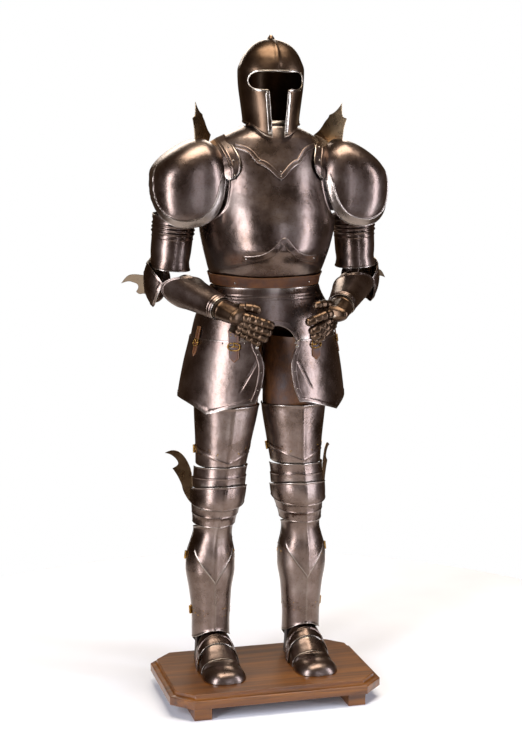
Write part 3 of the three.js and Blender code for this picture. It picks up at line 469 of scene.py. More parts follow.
bm = bmesh.new()
loops = []
for out, z in plinth["edge"]:
    loops.append([bm.verts.new((x * mm, y * mm + shiftY, z * mm)) for x, y in plinthLoop(out)])
edges = [[bm.edges.new((loop[i], loop[(i + 1) % 8])) for i in range(8)] for loop in loops]
for low, high in zip(edges, edges[1:]):
    bmesh.ops.bridge_loops(bm, edges=low + high)
for ends in (edges[0], edges[-1]):
    bmesh.ops.edgeloop_fill(bm, edges=ends)
bmesh.ops.recalc_face_normals(bm, faces=bm.faces)
board = finishPiece(objectFrom(bm, "board"), plinthWood, "wood", ["plinth_board"])
softEdge(board, 1.2, 3, 40)
for side, sign in (("left", 1), ("right", -1)):
    bm = bmesh.new()
    size = (plinth["battenWide"] * mm, plinth["battenDeep"] * mm, plinth["battenHigh"] * mm, 1)
    middle = Vector((sign * plinth["battenAt"] * mm, shiftY, plinth["battenHigh"] * mm / 2))
    bmesh.ops.create_cube(bm, size=1, matrix=Matrix.Translation(middle) @ Matrix.Diagonal(size))
    bmesh.ops.bevel(bm, geom=bm.edges[:], offset=1.6 * mm, offset_type="OFFSET", segments=3,
                    profile=0.5, affect="EDGES", material=-1)
    finishPiece(objectFrom(bm, f"{side}_batten"), plinthWood, "wood",
                [f"{side}_plinth_batten"])
print("the plinth is made")

# Legs, all in millimetres: the rows are height, half width, front, back, middle x, middle y
legLine = tableCurve([
    [120, 57, 62, 64, 141, 96], [196, 57, 58, 60, 142, 96], [255, 60, 59, 62, 142, 96],
    [305, 65, 61, 68, 143, 97], [365, 74, 64, 75, 143, 97], [415, 72, 64, 71, 142, 96],
    [452, 63, 62, 64, 140, 94], [482, 58, 62, 60, 137, 92], [515, 60, 65, 60, 134, 89],
    [550, 66, 68, 58, 130, 87], [570, 70, 73, 58, 127, 86], [620, 73, 76, 58, 122, 84],
    [665, 74, 76, 62, 118, 81], [700, 77, 78, 72, 114, 78], [762, 84, 84, 80, 109, 73],
    [860, 96, 90, 92, 103, 62], [960, 99, 96, 100, 101, 50], [1085, 106.4, 112, 98, 109, 38],
])
leg = {
    # angles in degrees from the front: where greave front and back meet, the knee, the thigh plate
    "greaveSplit": 92, "greaveGap": 1.2, "kneeAngle": 100, "cuisseAngle": 118,
    "greaveTop": 512, "greaveTopDip": 14, "greaveLow": 184, "greaveLowDip": 32,
    "backLow": 150, "backLowDip": 52, "greaveRidge": 5, "kneeRidge": 5, "cuisseRidge": 6,
    # the raised V of the greave: its point, rise, curl and height, and half its width in radians
    "chevronLow": 330, "chevronRise": 98, "chevronCurl": 34, "chevronHigh": 1.6,
    "chevronHalf": 1.15,
    "kneeLow": 558, "kneeHigh": 634, "kneeMid": 595, "kneeHalf": 52, "kneeOut": 7, "kneeDome": 9,
    "kneeLowDip": 22, "kneeHighDip": 20, "lameDip": 8,
    "cuisseLow": 684, "cuisseTop": 868, "cuisseLine": 700, "hideLow": 846, "hideTop": 1078,
    "hideOut": -4.1,
}


def legPoint(angle, z, out=0.0, ridge=0.0):
    # the ridge is a keel down the front of the leg
    _, half, front, back, x, y = legLine(z)
    keel = ridge * (0.55 * bump(angle, 0, rad(7)) + 0.45 * bump(angle, 0, rad(18)))
    sx, sy = onSection(half + out, front + keel + out, back + out, angle)
    return (x + sx, y + sy, z)


def legForm(fromAngle, toAngle, low, high, out=lambda a, z, v: 0.0, ridge=0.0):
    def form(u, v):
        angle = mix(rad(fromAngle), rad(toAngle), u)
        z = mix(low(angle), high(angle), v)
        return legPoint(angle, z, out(angle, z, v), ridge)
    return form


def greaveTop(a):
    return leg["greaveTop"] - leg["greaveTopDip"] * (1 - math.cos(a))


def greaveFrontLow(a):
    return leg["greaveLow"] - leg["greaveLowDip"] * smooth(clamp(abs(a) / rad(90), 0, 1))


def foldOver(a):
    return 2 * math.pi - a if a > math.pi else a


def greaveBackLow(a):
    away = smooth(clamp((foldOver(a) - rad(90)) / rad(90), 0, 1))
    return leg["backLow"] - leg["backLowDip"] * away


def chevronAt(a):
    return (leg["chevronLow"] + leg["chevronRise"] * abs(a) ** 0.9
            + leg["chevronCurl"] * max(0, abs(a) - 0.7) ** 2)


def greaveFrontOut(a, z, v):
    # a raised V that opens upward from the keel, and a rolled edge at the top and the ankle
    line = chevronAt(a)
    above = clamp((z - line) / 3, 0, 1) * clamp((470 - z) / 60, 0, 1)
    lip = 2.4 * bump(z, greaveTop(a) - 1, 4) + 1.6 * bump(z, greaveFrontLow(a) + 1, 4)
    bead = 2.0 * bump(z, line, 2.4) * clamp((leg["chevronHalf"] - abs(a)) * 5, 0, 1)
    return leg["chevronHigh"] * above * bump(a, 0, rad(52)) + lip + bead


def greavePolish(u, v):
    a = mix(rad(-leg["greaveSplit"]), rad(leg["greaveSplit"]), u)
    z = mix(greaveFrontLow(a), greaveTop(a), v)
    bead = bump(z, chevronAt(a) + 0.5, 3.0) * clamp((leg["chevronHalf"] - abs(a)) * 5, 0, 1)
    return max(bead, 0.25 * bump(a, 0, rad(2.5)) * clamp((chevronAt(a) - z) / 10, 0, 1))


platePair("greave_front_plate", agedSteel, "plate_steel", legForm(
    -leg["greaveSplit"], leg["greaveSplit"], greaveFrontLow, greaveTop, greaveFrontOut,
    leg["greaveRidge"]), 120, 240, "greave_front", polish=greavePolish)
platePair("greave_back_plate", agedSteel, "plate_steel", legForm(
    leg["greaveSplit"] + leg["greaveGap"], 360 - leg["greaveSplit"] - leg["greaveGap"],
    greaveBackLow, greaveTop,
    lambda a, z, v: 1.8 * bump(z, greaveTop(a) - 1, 4)), 90, 130, "greave_back")


def kneeOut(a, z, v):
    t = (z - leg["kneeMid"]) / leg["kneeHalf"]
    dome = math.sqrt(max(0, 1 - min(1, t * t)))
    roll = 1.4 * max(bump(v, 0.03, 0.03), bump(v, 0.97, 0.03))
    toFront = 0.45 + 0.55 * max(0, math.cos(a))
    return leg["kneeOut"] + leg["kneeDome"] * dome * toFront + roll


def stepLames(steps, outFar, outCup):
    # each lame laps over the next, with a rolled line at its free edge
    def out(a, z, v):
        at = v * steps
        i = min(steps - 1, int(at))
        t = at - i
        edge = 0.8 * bump(t, 0.06, 0.05)
        return mix(outFar, outCup, (i + 1) / steps) + edge
    return out


def roundedOutline(points, rounds=2, keep=()):
    # cuts the corners of an outline again and again, but for the sharp ones
    for _ in range(rounds):
        line = []
        for i, p in enumerate(points):
            before, after = points[i - 1], points[(i + 1) % len(points)]
            if p in keep:
                line.append(p)
            else:
                line.append((mix(p[0], before[0], 0.25), mix(p[1], before[1], 0.25)))
                line.append((mix(p[0], after[0], 0.25), mix(p[1], after[1], 0.25)))
        points = line
    return points


def wingPair(name, wing, material, node):
    # a flat plate cut to an outline: out along the wing, and up
    length = math.hypot(*wing["along"])
    ax, ay = (part / length for part in wing["along"])
    x, y, z = wing["origin"]
    outline = roundedOutline(wing["outline"], 2, wing["sharp"])
    for side, turned in bothSides:
        bm = bmesh.new()
        near = bm.faces.new([bm.verts.new(((x + a * ax) * mm, (y + a * ay) * mm, (z + b) * mm))
                             for a, b in outline])
        moved = bmesh.ops.extrude_face_region(bm, geom=[near])
        far = [g for g in moved["geom"] if isinstance(g, bmesh.types.BMVert)]
        bmesh.ops.translate(bm, vec=(ay * wing["thick"] * mm, -ax * wing["thick"] * mm, 0),
                            verts=far)
        toSide(bm, turned)
        bmesh.ops.recalc_face_normals(bm, faces=bm.faces)
        worn = bm.verts.layers.float.new("worn")
        for v in bm.verts:
            v[worn] = wing["worn"]
        obj = objectFrom(bm, f"{side}_{name}")
        softEdge(obj, 0.7)
        finishPiece(obj, material, "plate_steel", [f"{side}_{node}"])


platePair("knee_dome", agedSteel, "plate_steel", legForm(
    -leg["kneeAngle"], leg["kneeAngle"],
    lambda a: leg["kneeLow"] + leg["kneeLowDip"] * (1 - math.cos(a * 0.9)),
    lambda a: leg["kneeHigh"] - leg["kneeHighDip"] * (1 - math.cos(a * 0.9)),
    kneeOut, leg["kneeRidge"]), 120, 90, "knee_cup")
kneeWing = {
    "origin": (206.5, 92, 597), "along": (0.45, 0.893), "thick": 2, "worn": 0.35,
    "outline": [(-14, 40), (-8, 74), (18, 105), (52, 121), (88, 117), (118, 103), (90, 104),
                (62, 95), (48, 80), (80, 62), (58, 46), (44, 30), (36, 20), (30, 2), (8, -20),
                (-14, -32)],
    "sharp": [(118, 103), (80, 62), (44, 30)],
}
wingPair("knee_wing", kneeWing, strawSteel, "knee_cup")
kneeLames = [
    # name, lower edge, upper edge, out at the far end, out at the cup, lames
    ("knee_lames_below", 503, 561, 3.6, 5.4, 2),
    ("knee_lames_above", 690, 626, 3.2, 6.9, 2),
]
for lameName, far, cup, outFar, outCup, count in kneeLames:
    sag = math.copysign(leg["lameDip"], cup - far)
    platePair(lameName[5:] + "_plates", agedSteel, "plate_steel", legForm(
        -leg["kneeAngle"] + 4, leg["kneeAngle"] - 4,
        lambda a, far=far, sag=sag: far + sag * (1 - math.cos(a * 0.9)),
        lambda a, cup=cup, sag=sag: cup + sag * (1 - math.cos(a * 0.9)),
        stepLames(count, outFar, outCup), leg["kneeRidge"]), 100, 70, lameName, flip=cup < far)


def cuisseOut(a, z, v):
    # a roll at the top, and a fine line that falls to a point over the knee
    roll = 1.6 * bump(z, leg["cuisseTop"] + 4 * math.cos(a) - 2, 4)
    line = leg["cuisseLine"] + 30 * abs(a)
    return roll + 1.2 * bump(z, line, 2.2) * clamp((1.7 - abs(a)) * 4, 0, 1)


platePair("cuisse_plate", agedSteel, "plate_steel", legForm(
    -leg["cuisseAngle"], leg["cuisseAngle"],
    lambda a: leg["cuisseLow"] + 6 * (1 - math.cos(a)),
    lambda a: leg["cuisseTop"] + 4 * math.cos(a), cuisseOut, leg["cuisseRidge"]),
    120, 100, "cuisse")
platePair("thigh_hide", thighLeather, "leather", legForm(
    0, 360, lambda a: leg["hideLow"], lambda a: leg["hideTop"],
    lambda a, z, v: leg["hideOut"]
    + 1.2 * math.sin(3 * a + z / 40) * smooth(clamp(v * 4, 0, 1))),
    120, 80, "thigh_leather", closed=True, wall=hideWall)
for height in (455, 250):
    rivet("steel", legPoint(rad(4 - leg["greaveSplit"]), height, 0.4), (-1, 0, 0), 2.6, 1.6)
print("the legs are made")

# Feet: sections that arch over the foot, from the toe to the instep
foot = {"x": 140, "floor": 75.35, "capHalf": 63, "capBack": -44, "capTip": -131,
        "crown": (140, -72, 116.35), "forefootFrom": -36, "forefootTo": 8, "lamesFrom": 3,
        "lamesTo": 48}
footLine = tableCurve([
    # depth along Y, half width, height of the arch
    [-131, 6, 8], [-110, 44, 24], [-80, 57, 34], [-48, 61, 37],
    [-10, 61, 60], [20, 58, 86], [52, 54, 104],
])


def footPoint(angle, y, out=0.0, lean=0.0):
    _, half, high = footLine(y)
    side = signedPower(math.sin(angle), 0.9)
    rise = abs(math.cos(angle)) ** 0.8
    return (foot["x"] + (half + out) * side, y + lean * rise, foot["floor"] + (high + out) * rise)


def footForm(fromY, toY, out, lean):
    return lambda u, v: footPoint(mix(-math.pi / 2, math.pi / 2, u), mix(fromY, toY, v),
                                  out(u, v), lean)


platePair("forefoot", agedSteel, "plate_steel", footForm(
    foot["forefootFrom"], foot["forefootTo"],
    lambda u, v: 1.0 * bump(u, 0.5, 0.05) + 0.8 * bump(v, 0.04, 0.04), 6),
    110, 60, "sabaton_forefoot")
platePair("instep_lames", agedSteel, "plate_steel", footForm(
    foot["lamesFrom"], foot["lamesTo"],
    lambda u, v: (4.8 if v < 0.5 else 6.1) + 0.9 * bump(v % 0.5, 0.05, 0.05)
    + 1.0 * bump(u, 0.5, 0.05), 8), 110, 80, "sabaton_lames")


def toeForm(u, v):
    # lines run from the crown to the floor all round, and to an arched edge at the back
    turn = u * 2 * math.pi
    side, fore = math.sin(turn), math.cos(turn)
    if fore > -0.25:
        t = clamp((fore + 0.25) / 1.25, 0, 1)
        edge = (foot["x"] + foot["capHalf"] * signedPower(side, 0.8),
                mix(foot["capBack"] - 6, foot["capTip"], t ** 0.8), foot["floor"] + 0.7)
    else:
        arch = clamp((-fore - 0.25) / 0.75, 0, 1)
        edge = (foot["x"] + foot["capHalf"] * side, foot["capBack"] + 6 * arch,
                foot["floor"] + 0.7 + 40 * math.sin(arch * math.pi / 2))
    spread, fall = math.sin(v * math.pi / 2), 1 - math.cos(v * math.pi / 2)
    p = [mix(foot["crown"][0], edge[0], spread), mix(foot["crown"][1], edge[1], spread),
         mix(foot["crown"][2], edge[2], fall)]
    if fore < 0.15:
        p[2] += 2.0 * bump(v, 0.82, 0.10) * smooth(clamp((0.15 - fore) / 0.3, 0, 1))
    return p


platePair("toe_cap", agedSteel, "plate_steel", toeForm, 128, 40, "sabaton_toe",
          closed=True, flip=True)


heel = {"x": 141, "y": 97, "top": 158, "half": 50, "front": 40, "back": 60,
        "from": rad(78), "to": rad(282), "studs": 9}


def heelForm(u, v):
    angle = mix(heel["from"], heel["to"], u)
    x, y = onSection(heel["half"] - 4 * v, heel["front"], heel["back"] - 8 * v, angle)
    return (heel["x"] + x, heel["y"] + y, mix(foot["floor"], heel["top"], v))


# the hide behind each heel is a leather piece, but its near-black colour is painted shade for the
# shadow there
platePair("heel_hide_with_painted_shade", heelLeatherWithPaintedShade, "leather", heelForm, 60, 40, "heel", wall=hideWall)
for first, last in ((278, 250), (82, 110)):
    # two rows of small studs at each side of the heel
    for i in range(heel["studs"]):
        for row in range(2):
            angle = mix(rad(first), rad(last), (i + 0.5 * row) / heel["studs"])
            p = heelForm((angle - heel["from"]) / (heel["to"] - heel["from"]), 0.08 + 0.09 * row)
            rivet("steel", p, (math.sin(angle), -math.cos(angle), 0), 1.3, 0.9)
print("the feet are made")

# Skirt: the rows are height, half width, front, back, middle y
hipLine = tableCurve([
    [850, 250, 188, 162, 54], [895, 246, 184, 160, 51], [922, 244, 180, 158, 50],
    [999, 231, 170, 150, 43], [1061, 217, 158, 142, 38], [1128, 203, 145, 132, 33],
    [1170, 188, 134, 120, 28], [1200, 170, 128, 108, 25], [1226, 160, 128, 103, 22],
])
archLine = tableCurve([
    # height, half width of the opening
    [860, 74], [902, 65], [940, 50], [1004, 40], [1035, 46],
    [1068, 58], [1090, 50], [1106, 36], [1116, 18], [1120, 0.5],
])
skirt = {"archTop": 1120, "seam": 1066, "top": 1226, "side": rad(96), "out": 3.3,
         "tassetTop": 1078, "hemPoint": 187, "hem": 901, "hemDrop": 36, "hemInner": 108,
         "hemOuter": 66, "rollWide": 13, "bandWide": 17, "bandHigh": 1.6, "bandAway": 8.6,
         "waistLines": (1203, 1194)}


def hipPoint(angle, z, out=0.0):
    _, half, front, back, y = hipLine(z)
    sx, sy = onSection(half + out, front + out, back + out, angle)
    return (sx, y + sy, z)


def hipAt(x, z, out=0.0):
    half = hipLine(z)[1]
    return hipPoint(math.asin(clamp(x / (half + out), -0.999, 0.999)), z, out)


def archHalf(z):
    return archLine(z)[1]


def hemLow(x):
    away = abs(abs(x) - skirt["hemPoint"])
    span = skirt["hemOuter"] if abs(x) > skirt["hemPoint"] else skirt["hemInner"]
    return skirt["hem"] - skirt["hemDrop"] * max(0, 1 - away / span) ** 1.2


def fauldForm(u, v):
    angle = mix(-skirt["side"], skirt["side"], u)
    z = mix(skirt["seam"], skirt["top"], v)
    upper, lower = skirt["waistLines"]
    return hipPoint(angle, z, 1.0 * bump(z, upper, 2.4) + 1.0 * bump(z, lower, 2.0))


archSide = [(archHalf(z), z) for z in range(1040, skirt["archTop"], 2)]
archSide.append((0.0, skirt["archTop"]))
archOutline = densePath([(-x, z) for x, z in archSide] + [(x, z) for x, z in reversed(archSide)])
plate("fauld_front_plate", agedSteel, "plate_steel", fauldForm, 260, 130, ["fauld_front"],
      cut=cutOpening(lambda x, z: z < skirt["archTop"] and abs(x) < archHalf(z),
                     archOutline, hipAt, 0))
backFrom = skirt["side"] + 0.006
plate("fauld_back_plate", agedSteel, "plate_steel", lambda u, v: hipPoint(
    mix(backFrom, 2 * math.pi - backFrom, u), mix(skirt["seam"], skirt["top"], v)),
    140, 60, ["fauld_back"])


def tassetForm(u, v):
    rough = mix(rad(15), skirt["side"], u)
    z = mix(hemLow(246 * math.sin(rough)), skirt["tassetTop"], v)
    half = hipLine(z)[1]
    start = math.asin(archHalf(z) / (half + skirt["out"]))
    angle = mix(start, skirt["side"], u)
    p = hipPoint(angle, z, 0)
    hem = hemLow(p[0])
    # the hem is rolled over its whole width, and one crease runs down from the arch
    roll = 1.7 * clamp((skirt["rollWide"] - (z - hem)) / 2, 0, 1)
    line = 100 - (z - 945) * 0.55
    shown = clamp((z - 930) / 20, 0, 1) * clamp((1035 - z) / 25, 0, 1)
    crease = -1.6 * bump(p[0], line, 3) * shown
    roll += 1.0 * bump(z, skirt["tassetTop"] - 3, 3)
    return hipPoint(angle, z, skirt["out"] + roll + crease)


platePair("tasset_plate", agedSteel, "plate_steel", tassetForm, 150, 170, "tasset")


def rumpForm(u, v):
    angle = mix(backFrom, 2 * math.pi - backFrom, u)
    share = (foldOver(angle) - skirt["side"]) / (math.pi - skirt["side"])
    low = skirt["hem"] - 20 * (0.5 - 0.5 * math.cos(share * math.pi))
    z = mix(low, skirt["tassetTop"], v)
    roll = 1.7 * clamp((skirt["rollWide"] - (z - low)) / 2, 0, 1)
    return hipPoint(angle, z, skirt["out"] + roll)


plate("rump_sheet", agedSteel, "plate_steel", rumpForm, 150, 110, ["rump_plate"])


def archBandPath(u):
    # round the head of the arch from seam to seam, half a band outside its edge
    turn = mix(-1, 1, u)
    half = skirt["bandWide"] / 2
    t = abs(turn)
    z = mix(skirt["archTop"], skirt["seam"] + 2, t ** 1.7)
    top = skirt["archTop"]
    slope = (archHalf(min(top - 1, z - 1)) - archHalf(min(top - 0.5, z + 1))) / 2
    x = archHalf(min(z, top - 0.1))
    nx, nz = 1.0, slope
    if t < 0.12:
        nx, nz = t / 0.12, 1.0
    length = math.hypot(nx, nz)
    return (math.copysign(x + half * nx / length, turn), z + half * nz / length)


def smoothPath(path, steps=48):
    # the same path with its kinks eased, read back by its share
    points = [path(i / steps) for i in range(steps + 1)]
    for _ in range(3):
        points = [points[0]] + [tuple((points[i - 1][k] + 2 * points[i][k] + points[i + 1][k]) / 4
                                      for k in (0, 1)) for i in range(1, steps)] + [points[-1]]

    def read(u):
        at = clamp(u, 0, 1) * steps
        i = min(steps - 1, int(at))
        return tuple(mix(points[i][k], points[i + 1][k], at - i) for k in (0, 1))
    return read


def bandPiece(name, surface, path, width, lift, high, steps, nodes, mirror=False,
              material=agedSteel):
    form = bandForm(surface, path, width, lift - 0.6, high + 0.6)
    return plate(name, material, "plate_steel", form, steps, 12, nodes, mirror=mirror,
                 wall=0.9, edge=0, wornWidth=2.5)


bandPiece("arch_band", hipAt, smoothPath(archBandPath), skirt["bandWide"], 0, skirt["bandHigh"],
          160, ["fauld_front"])


def tassetBandPath(u):
    z = mix(skirt["tassetTop"] - 1, 906, u)
    return (archHalf(z) + skirt["bandAway"], z)


for side, turned in bothSides:
    bandPiece(f"{side}_tasset_band", hipAt, tassetBandPath, skirt["bandWide"], skirt["out"],
              skirt["bandHigh"], 120, [f"{side}_tasset"], turned)
skirtRivets = [
    # sideways place, height, lift off the plate, radius, height of the head
    (54, 1071, 1.2, 2.6, 1.5), (150, 1070, 1.2, 2.6, 1.5), (92, 1072, 1.2, 2.4, 1.5),
    (59, 1060, 1.6, 5.2, 3.0),
] + [(archHalf(z) + skirt["bandAway"], z, 1.5, 1.9, 1.2) for z in (1040, 990, 940)]
for x, z, lift, radius, high in skirtRivets:
    rivetOn("steel", hipAt, x, z, skirt["out"] + lift, radius, high)
print("the skirt is made")

# Body: the rows are height, half width, front, back, middle y
bodyLine = tableCurve([
    [1195, 150, 112, 92, 22], [1245, 156, 132, 100, 22], [1274, 167, 158, 106, 20],
    [1306, 176, 183, 112, 17], [1344, 186, 198, 120, 13], [1395, 195, 198, 128, 8],
    [1440, 195, 184, 132, 6], [1500, 186, 160, 128, 5], [1560, 176, 138, 116, 3],
    [1600, 167, 119, 104, 0], [1628, 154, 104, 92, -3], [1645, 138, 93, 82, -7],
    [1655, 121, 86, 75, -9], [1664, 103, 79, 79.4, -11], [1672, 86, 73, 74.4, -12],
    [1680, 70, 67, 67.4, -13],
])
armhole = tableCurve([
    [1200, 89], [1385, 89], [1415, 70], [1440, 56], [1470, 50], [1520, 49], [1560, 51],
    [1600, 62], [1645, 78],
])
body = {"low": 1204, "high": 1642, "backHigh": 1560, "bellyHalf": 106, "bellyTop": 1368,
        "bellyFall": 56, "bellyWide": 21, "lineAt": 1305, "lineApart": 11, "beltLow": 1232,
        "beltHigh": 1262, "beltOut": 6.8, "gorgetOut": 3.9, "gorgetTop": 1678,
        "gorgetBandWide": 15, "gorgetBandHalf": 118}


def bodyPoint(angle, z, out=0.0):
    _, half, front, back, y = bodyLine(z)
    sx, sy = onSection(half + out, front + out, back + out, angle)
    return (sx, y + sy, z)


def bodyAt(x, z, out=0.0):
    half = bodyLine(z)[1]
    return bodyPoint(math.asin(clamp(x / (half + out), -0.999, 0.999)), z, out)


def breastForm(u, v):
    z = mix(body["low"], body["high"], v)
    angle = rad(armhole(z)[1]) * mix(-1, 1, u)
    p = bodyPoint(angle, z)
    # two fine lines under the belly band on each side, and a roll at the arm opening
    lines = sum(bump(z, body["lineAt"] + k - 0.34 * (abs(p[0]) - 60), 1.3)
                for k in (0, body["lineApart"]))
    shown = clamp((abs(p[0]) - 66) / 8, 0, 1) * clamp((150 - abs(p[0])) / 20, 0, 1)
    hole = 2.2 * clamp((z - 1385) / 20, 0, 1) * bump(min(u, 1 - u), 0.016, 0.012)
    return bodyPoint(angle, z, 0.9 * lines * shown + hole + 1.2 * bump(z, body["low"] + 3, 3))


plate("breast_plate", agedSteel, "plate_steel", breastForm, 220, 260, ["breastplate"])


def backForm(u, v):
    # ends beside the breast plate at the arm, with a shallow crease down the spine
    z = mix(body["low"], body["backHigh"], v)
    edge = rad(armhole(z)[1]) - 0.5 * rad(89 - armhole(z)[1]) * 0.3
    crease = -1.4 * bump(u, 0.5, 0.012)
    return bodyPoint(math.pi + (edge - 0.004) * mix(-1, 1, u), z, crease)


plate("back_plate", agedSteel, "plate_steel", backForm, 160, 160, ["backplate"])


def bellyPath(u):
    x = mix(-body["bellyHalf"], body["bellyHalf"], u)
    t = abs(x) / body["bellyHalf"]
    return (x, body["bellyTop"] - body["bellyFall"] * (1 - (1 - t) ** 2.8))


bandPiece("belly_strip", bodyAt, smoothPath(bellyPath, 80), body["bellyWide"], 0.6, 1.1, 220,
          ["belly_band"])
rivetOn("steel", bodyAt, 98, 1313, 1.8, 2.6, 1.6)


def beltForm(u, v):
    # the hide dips at the front, waves a little, and is pressed in along both edges
    angle = u * 2 * math.pi
    z = mix(body["beltLow"], body["beltHigh"], v) - 6 * math.cos(angle)
    z += 1.8 * math.sin(5 * angle) * (v - 0.4)
    return bodyPoint(angle, z, body["beltOut"] + 0.7 * math.sin(7 * angle + 2 * v)
                     - 0.8 * (bump(v, 0.1, 0.04) + bump(v, 0.9, 0.04)))


plate("belt", strapLeather, "leather", beltForm, 260, 30, ["waist_belt"], closed=True,
      wall=hideWall)
for angle, radius, high in ((-44, 3.4, 1.8), (40, 3.0, 1.6)):
    rivetOn("steel", bodyPoint, rad(angle), 1240, body["beltOut"] + 0.6, radius, high, both=False)

gorgetEdge = tableCurve([
    # sideways place, height of the front lower edge
    [0, 1530], [14, 1543], [32, 1561], [50, 1573], [64, 1583], [80, 1602], [100, 1612],
    [124, 1618], [170, 1626],
])


def gorgetForm(u, v):
    angle = mix(-rad(90), rad(90), u)
    reach = 165 * math.sin(abs(angle))
    low = gorgetEdge(reach)[1]
    return bodyPoint(angle, mix(low, body["gorgetTop"], v), body["gorgetOut"])


plate("gorget_front_plate", agedSteel, "plate_steel", gorgetForm, 220, 70, ["gorget_front"])


def gorgetBackForm(u, v):
    angle = mix(rad(90) + 0.03, 2 * math.pi - rad(90) - 0.03, u)
    low = 1626 - 72 * math.sin(foldOver(angle) - math.pi / 2) ** 0.8
    return bodyPoint(angle, mix(low, body["gorgetTop"], v), body["gorgetOut"] - 0.2
                     + 1.4 * bump(v, 0.06, 0.04))


plate("gorget_back_plate", agedSteel, "plate_steel", gorgetBackForm, 140, 60, ["gorget_back"])


def gorgetBandPath(u):
    x = mix(-body["gorgetBandHalf"], body["gorgetBandHalf"], u)
    # small cusps stand down from the edge at each side of the middle point
    return (x, gorgetEdge(abs(x))[1] + 8 - 5 * bump(abs(x), 56, 5))


bandPiece("gorget_band", bodyAt, smoothPath(gorgetBandPath, 110), body["gorgetBandWide"],
          body["gorgetOut"], 1.6, 240, ["gorget_front"])
rivetOn("steel", bodyAt, 56, 1584, body["gorgetOut"] + 1.4, 2.4, 1.5)
for z in (1541, 1554):
    rivetOn("steel", bodyAt, 0, z, body["gorgetOut"] + 1.4, 2.2, 1.4, both=False)


collar = {"half": 65.5, "back": 55, "y": -16, "low": 1640, "high": 1694, "lames": 3}


def collarForm(u, v):
    # each lame stands out at its foot over the one below
    step = (v * collar["lames"]) % 1 if v < 1 else 1
    out = 1.7 * (1 - step) + 0.5 * bump(step, 0.08, 0.08)
    x, y = onSection(collar["half"] + out, collar["half"] + out, collar["back"] + out,
                     u * 2 * math.pi)
    return (x, collar["y"] + y, mix(collar["low"], collar["high"], v))


plate("collar_lames", agedSteel, "plate_steel", collarForm, 110, 60, ["neck_collar"],
      closed=True, edge=0)
print("the body is made")

# Helmet: the rows are height, half width, front, back
helmetLine = tableCurve([
    [1640, 76, 79, 104], [1690, 78, 82, 108], [1745, 85, 83, 116], [1790, 91, 80, 122],
    [1831, 93, 74, 120], [1862, 83, 64, 106], [1880, 73, 55, 92], [1897, 59, 45, 72],
    [1908, 44, 34, 52], [1914, 30, 24, 35], [1918, 14, 14, 14], [1924, 8, 8, 8], [1930, 3, 3, 3],
])
helmet = {"y": -38, "top": 1930, "frontEdge": 1648, "sideRise": 40, "backFall": 18,
          "squareness": 0.96, "eyeHalf": 78, "eyeLow": 1779, "eyeHigh": 1826,
          # the mouth slot: half widths at its top and foot, the height of its foot
          "mouthTop": 26, "mouthLow": 16.5, "mouthFoot": 1655, "eyeStrip": 4.5,
          "mouthStrip": 12, "stripPoints": 240, "reach": -30}


def helmetEdge(a):
    side = abs(a) / math.pi
    rise = helmet["sideRise"] * smooth(clamp((side - 0.08) / 0.36, 0, 1))
    return helmet["frontEdge"] + rise - helmet["backFall"] * smooth(clamp((side - 0.6) / 0.4, 0, 1))


def helmetPoint(angle, z, out=0.0):
    # a comb of the skull runs over its middle, and its nub leans forward
    _, half, front, back = helmetLine(z)
    shown = clamp((z - 1830) / 20, 0, 1) * clamp((1925 - z) / 20, 0, 1)
    ridge = shown * (3.5 * bump(angle, 0, rad(5)) + 1.5 * bump(angle, 0, rad(14)))
    lean = 8 * smooth(clamp((z - 1880) / 40, 0, 1))
    x, y = onSection(half + out, front + out + ridge, back + out, angle, helmet["squareness"])
    return (x, helmet["y"] + lean + y, z)


def helmetAt(x, z, out=0.0):
    half = helmetLine(z)[1] + out
    share = clamp(abs(x) / half, 0, 0.999) ** (1 / helmet["squareness"])
    return helmetPoint(math.copysign(math.asin(share), x), z, out)


def faceLine(grow, low=1600):
    # the outline of the face opening, grown by a band: from below, round the eyes, to below
    r = (helmet["eyeHigh"] - helmet["eyeLow"]) / 2 + grow
    middle = (helmet["eyeHigh"] + helmet["eyeLow"]) / 2
    side, top = helmet["mouthLow"] + grow, helmet["mouthTop"] + grow
    line = [(side, low), (side, helmet["mouthFoot"]), (top, helmet["eyeLow"] - 8 - grow)]
    corner = (top, helmet["eyeLow"] - grow)
    for i in range(1, 9):
        t = i / 8
        a = (mix(line[2][0], corner[0], t), mix(line[2][1], corner[1], t))
        b = (mix(corner[0], top + 10, t), corner[1])
        line.append((mix(a[0], b[0], t), mix(a[1], b[1], t)))
    for i in range(25):
        turn = mix(-math.pi / 2, math.pi / 2, i / 24)
        line.append((helmet["eyeHalf"] - r + grow + r * math.cos(turn),
                     middle + r * math.sin(turn)))
    return densePath(line + [(-x, z) for x, z in reversed(line)])


def inFace(x, z):
    r = (helmet["eyeHigh"] - helmet["eyeLow"]) / 2
    middle = (helmet["eyeHigh"] + helmet["eyeLow"]) / 2
    if helmet["eyeLow"] <= z <= helmet["eyeHigh"]:
        far = helmet["eyeHalf"] - r
        return abs(x) <= far or math.hypot(abs(x) - far, z - middle) <= r
    if z < helmet["eyeLow"]:
        low = helmet["mouthFoot"]
        share = clamp((z - low) / (helmet["eyeLow"] - 8 - low), 0, 1)
        return abs(x) < mix(helmet["mouthLow"], helmet["mouthTop"], share)
    return False


def skullForm(u, v):
    angle = mix(-math.pi, math.pi, u)
    fall = math.sin(v * math.pi / 2) ** 1.25
    low = helmetEdge(angle)
    z = mix(helmet["top"], low, fall)
    return helmetPoint(angle, z, 1.4 * bump(z, low + 3, 3))


plate("helmet_skull", darkSteel, "dark_steel", skullForm, 360, 240, ["helmet"],
      closed=True, flip=True, cut=cutOpening(inFace, faceLine(0), helmetAt, helmet["reach"]))


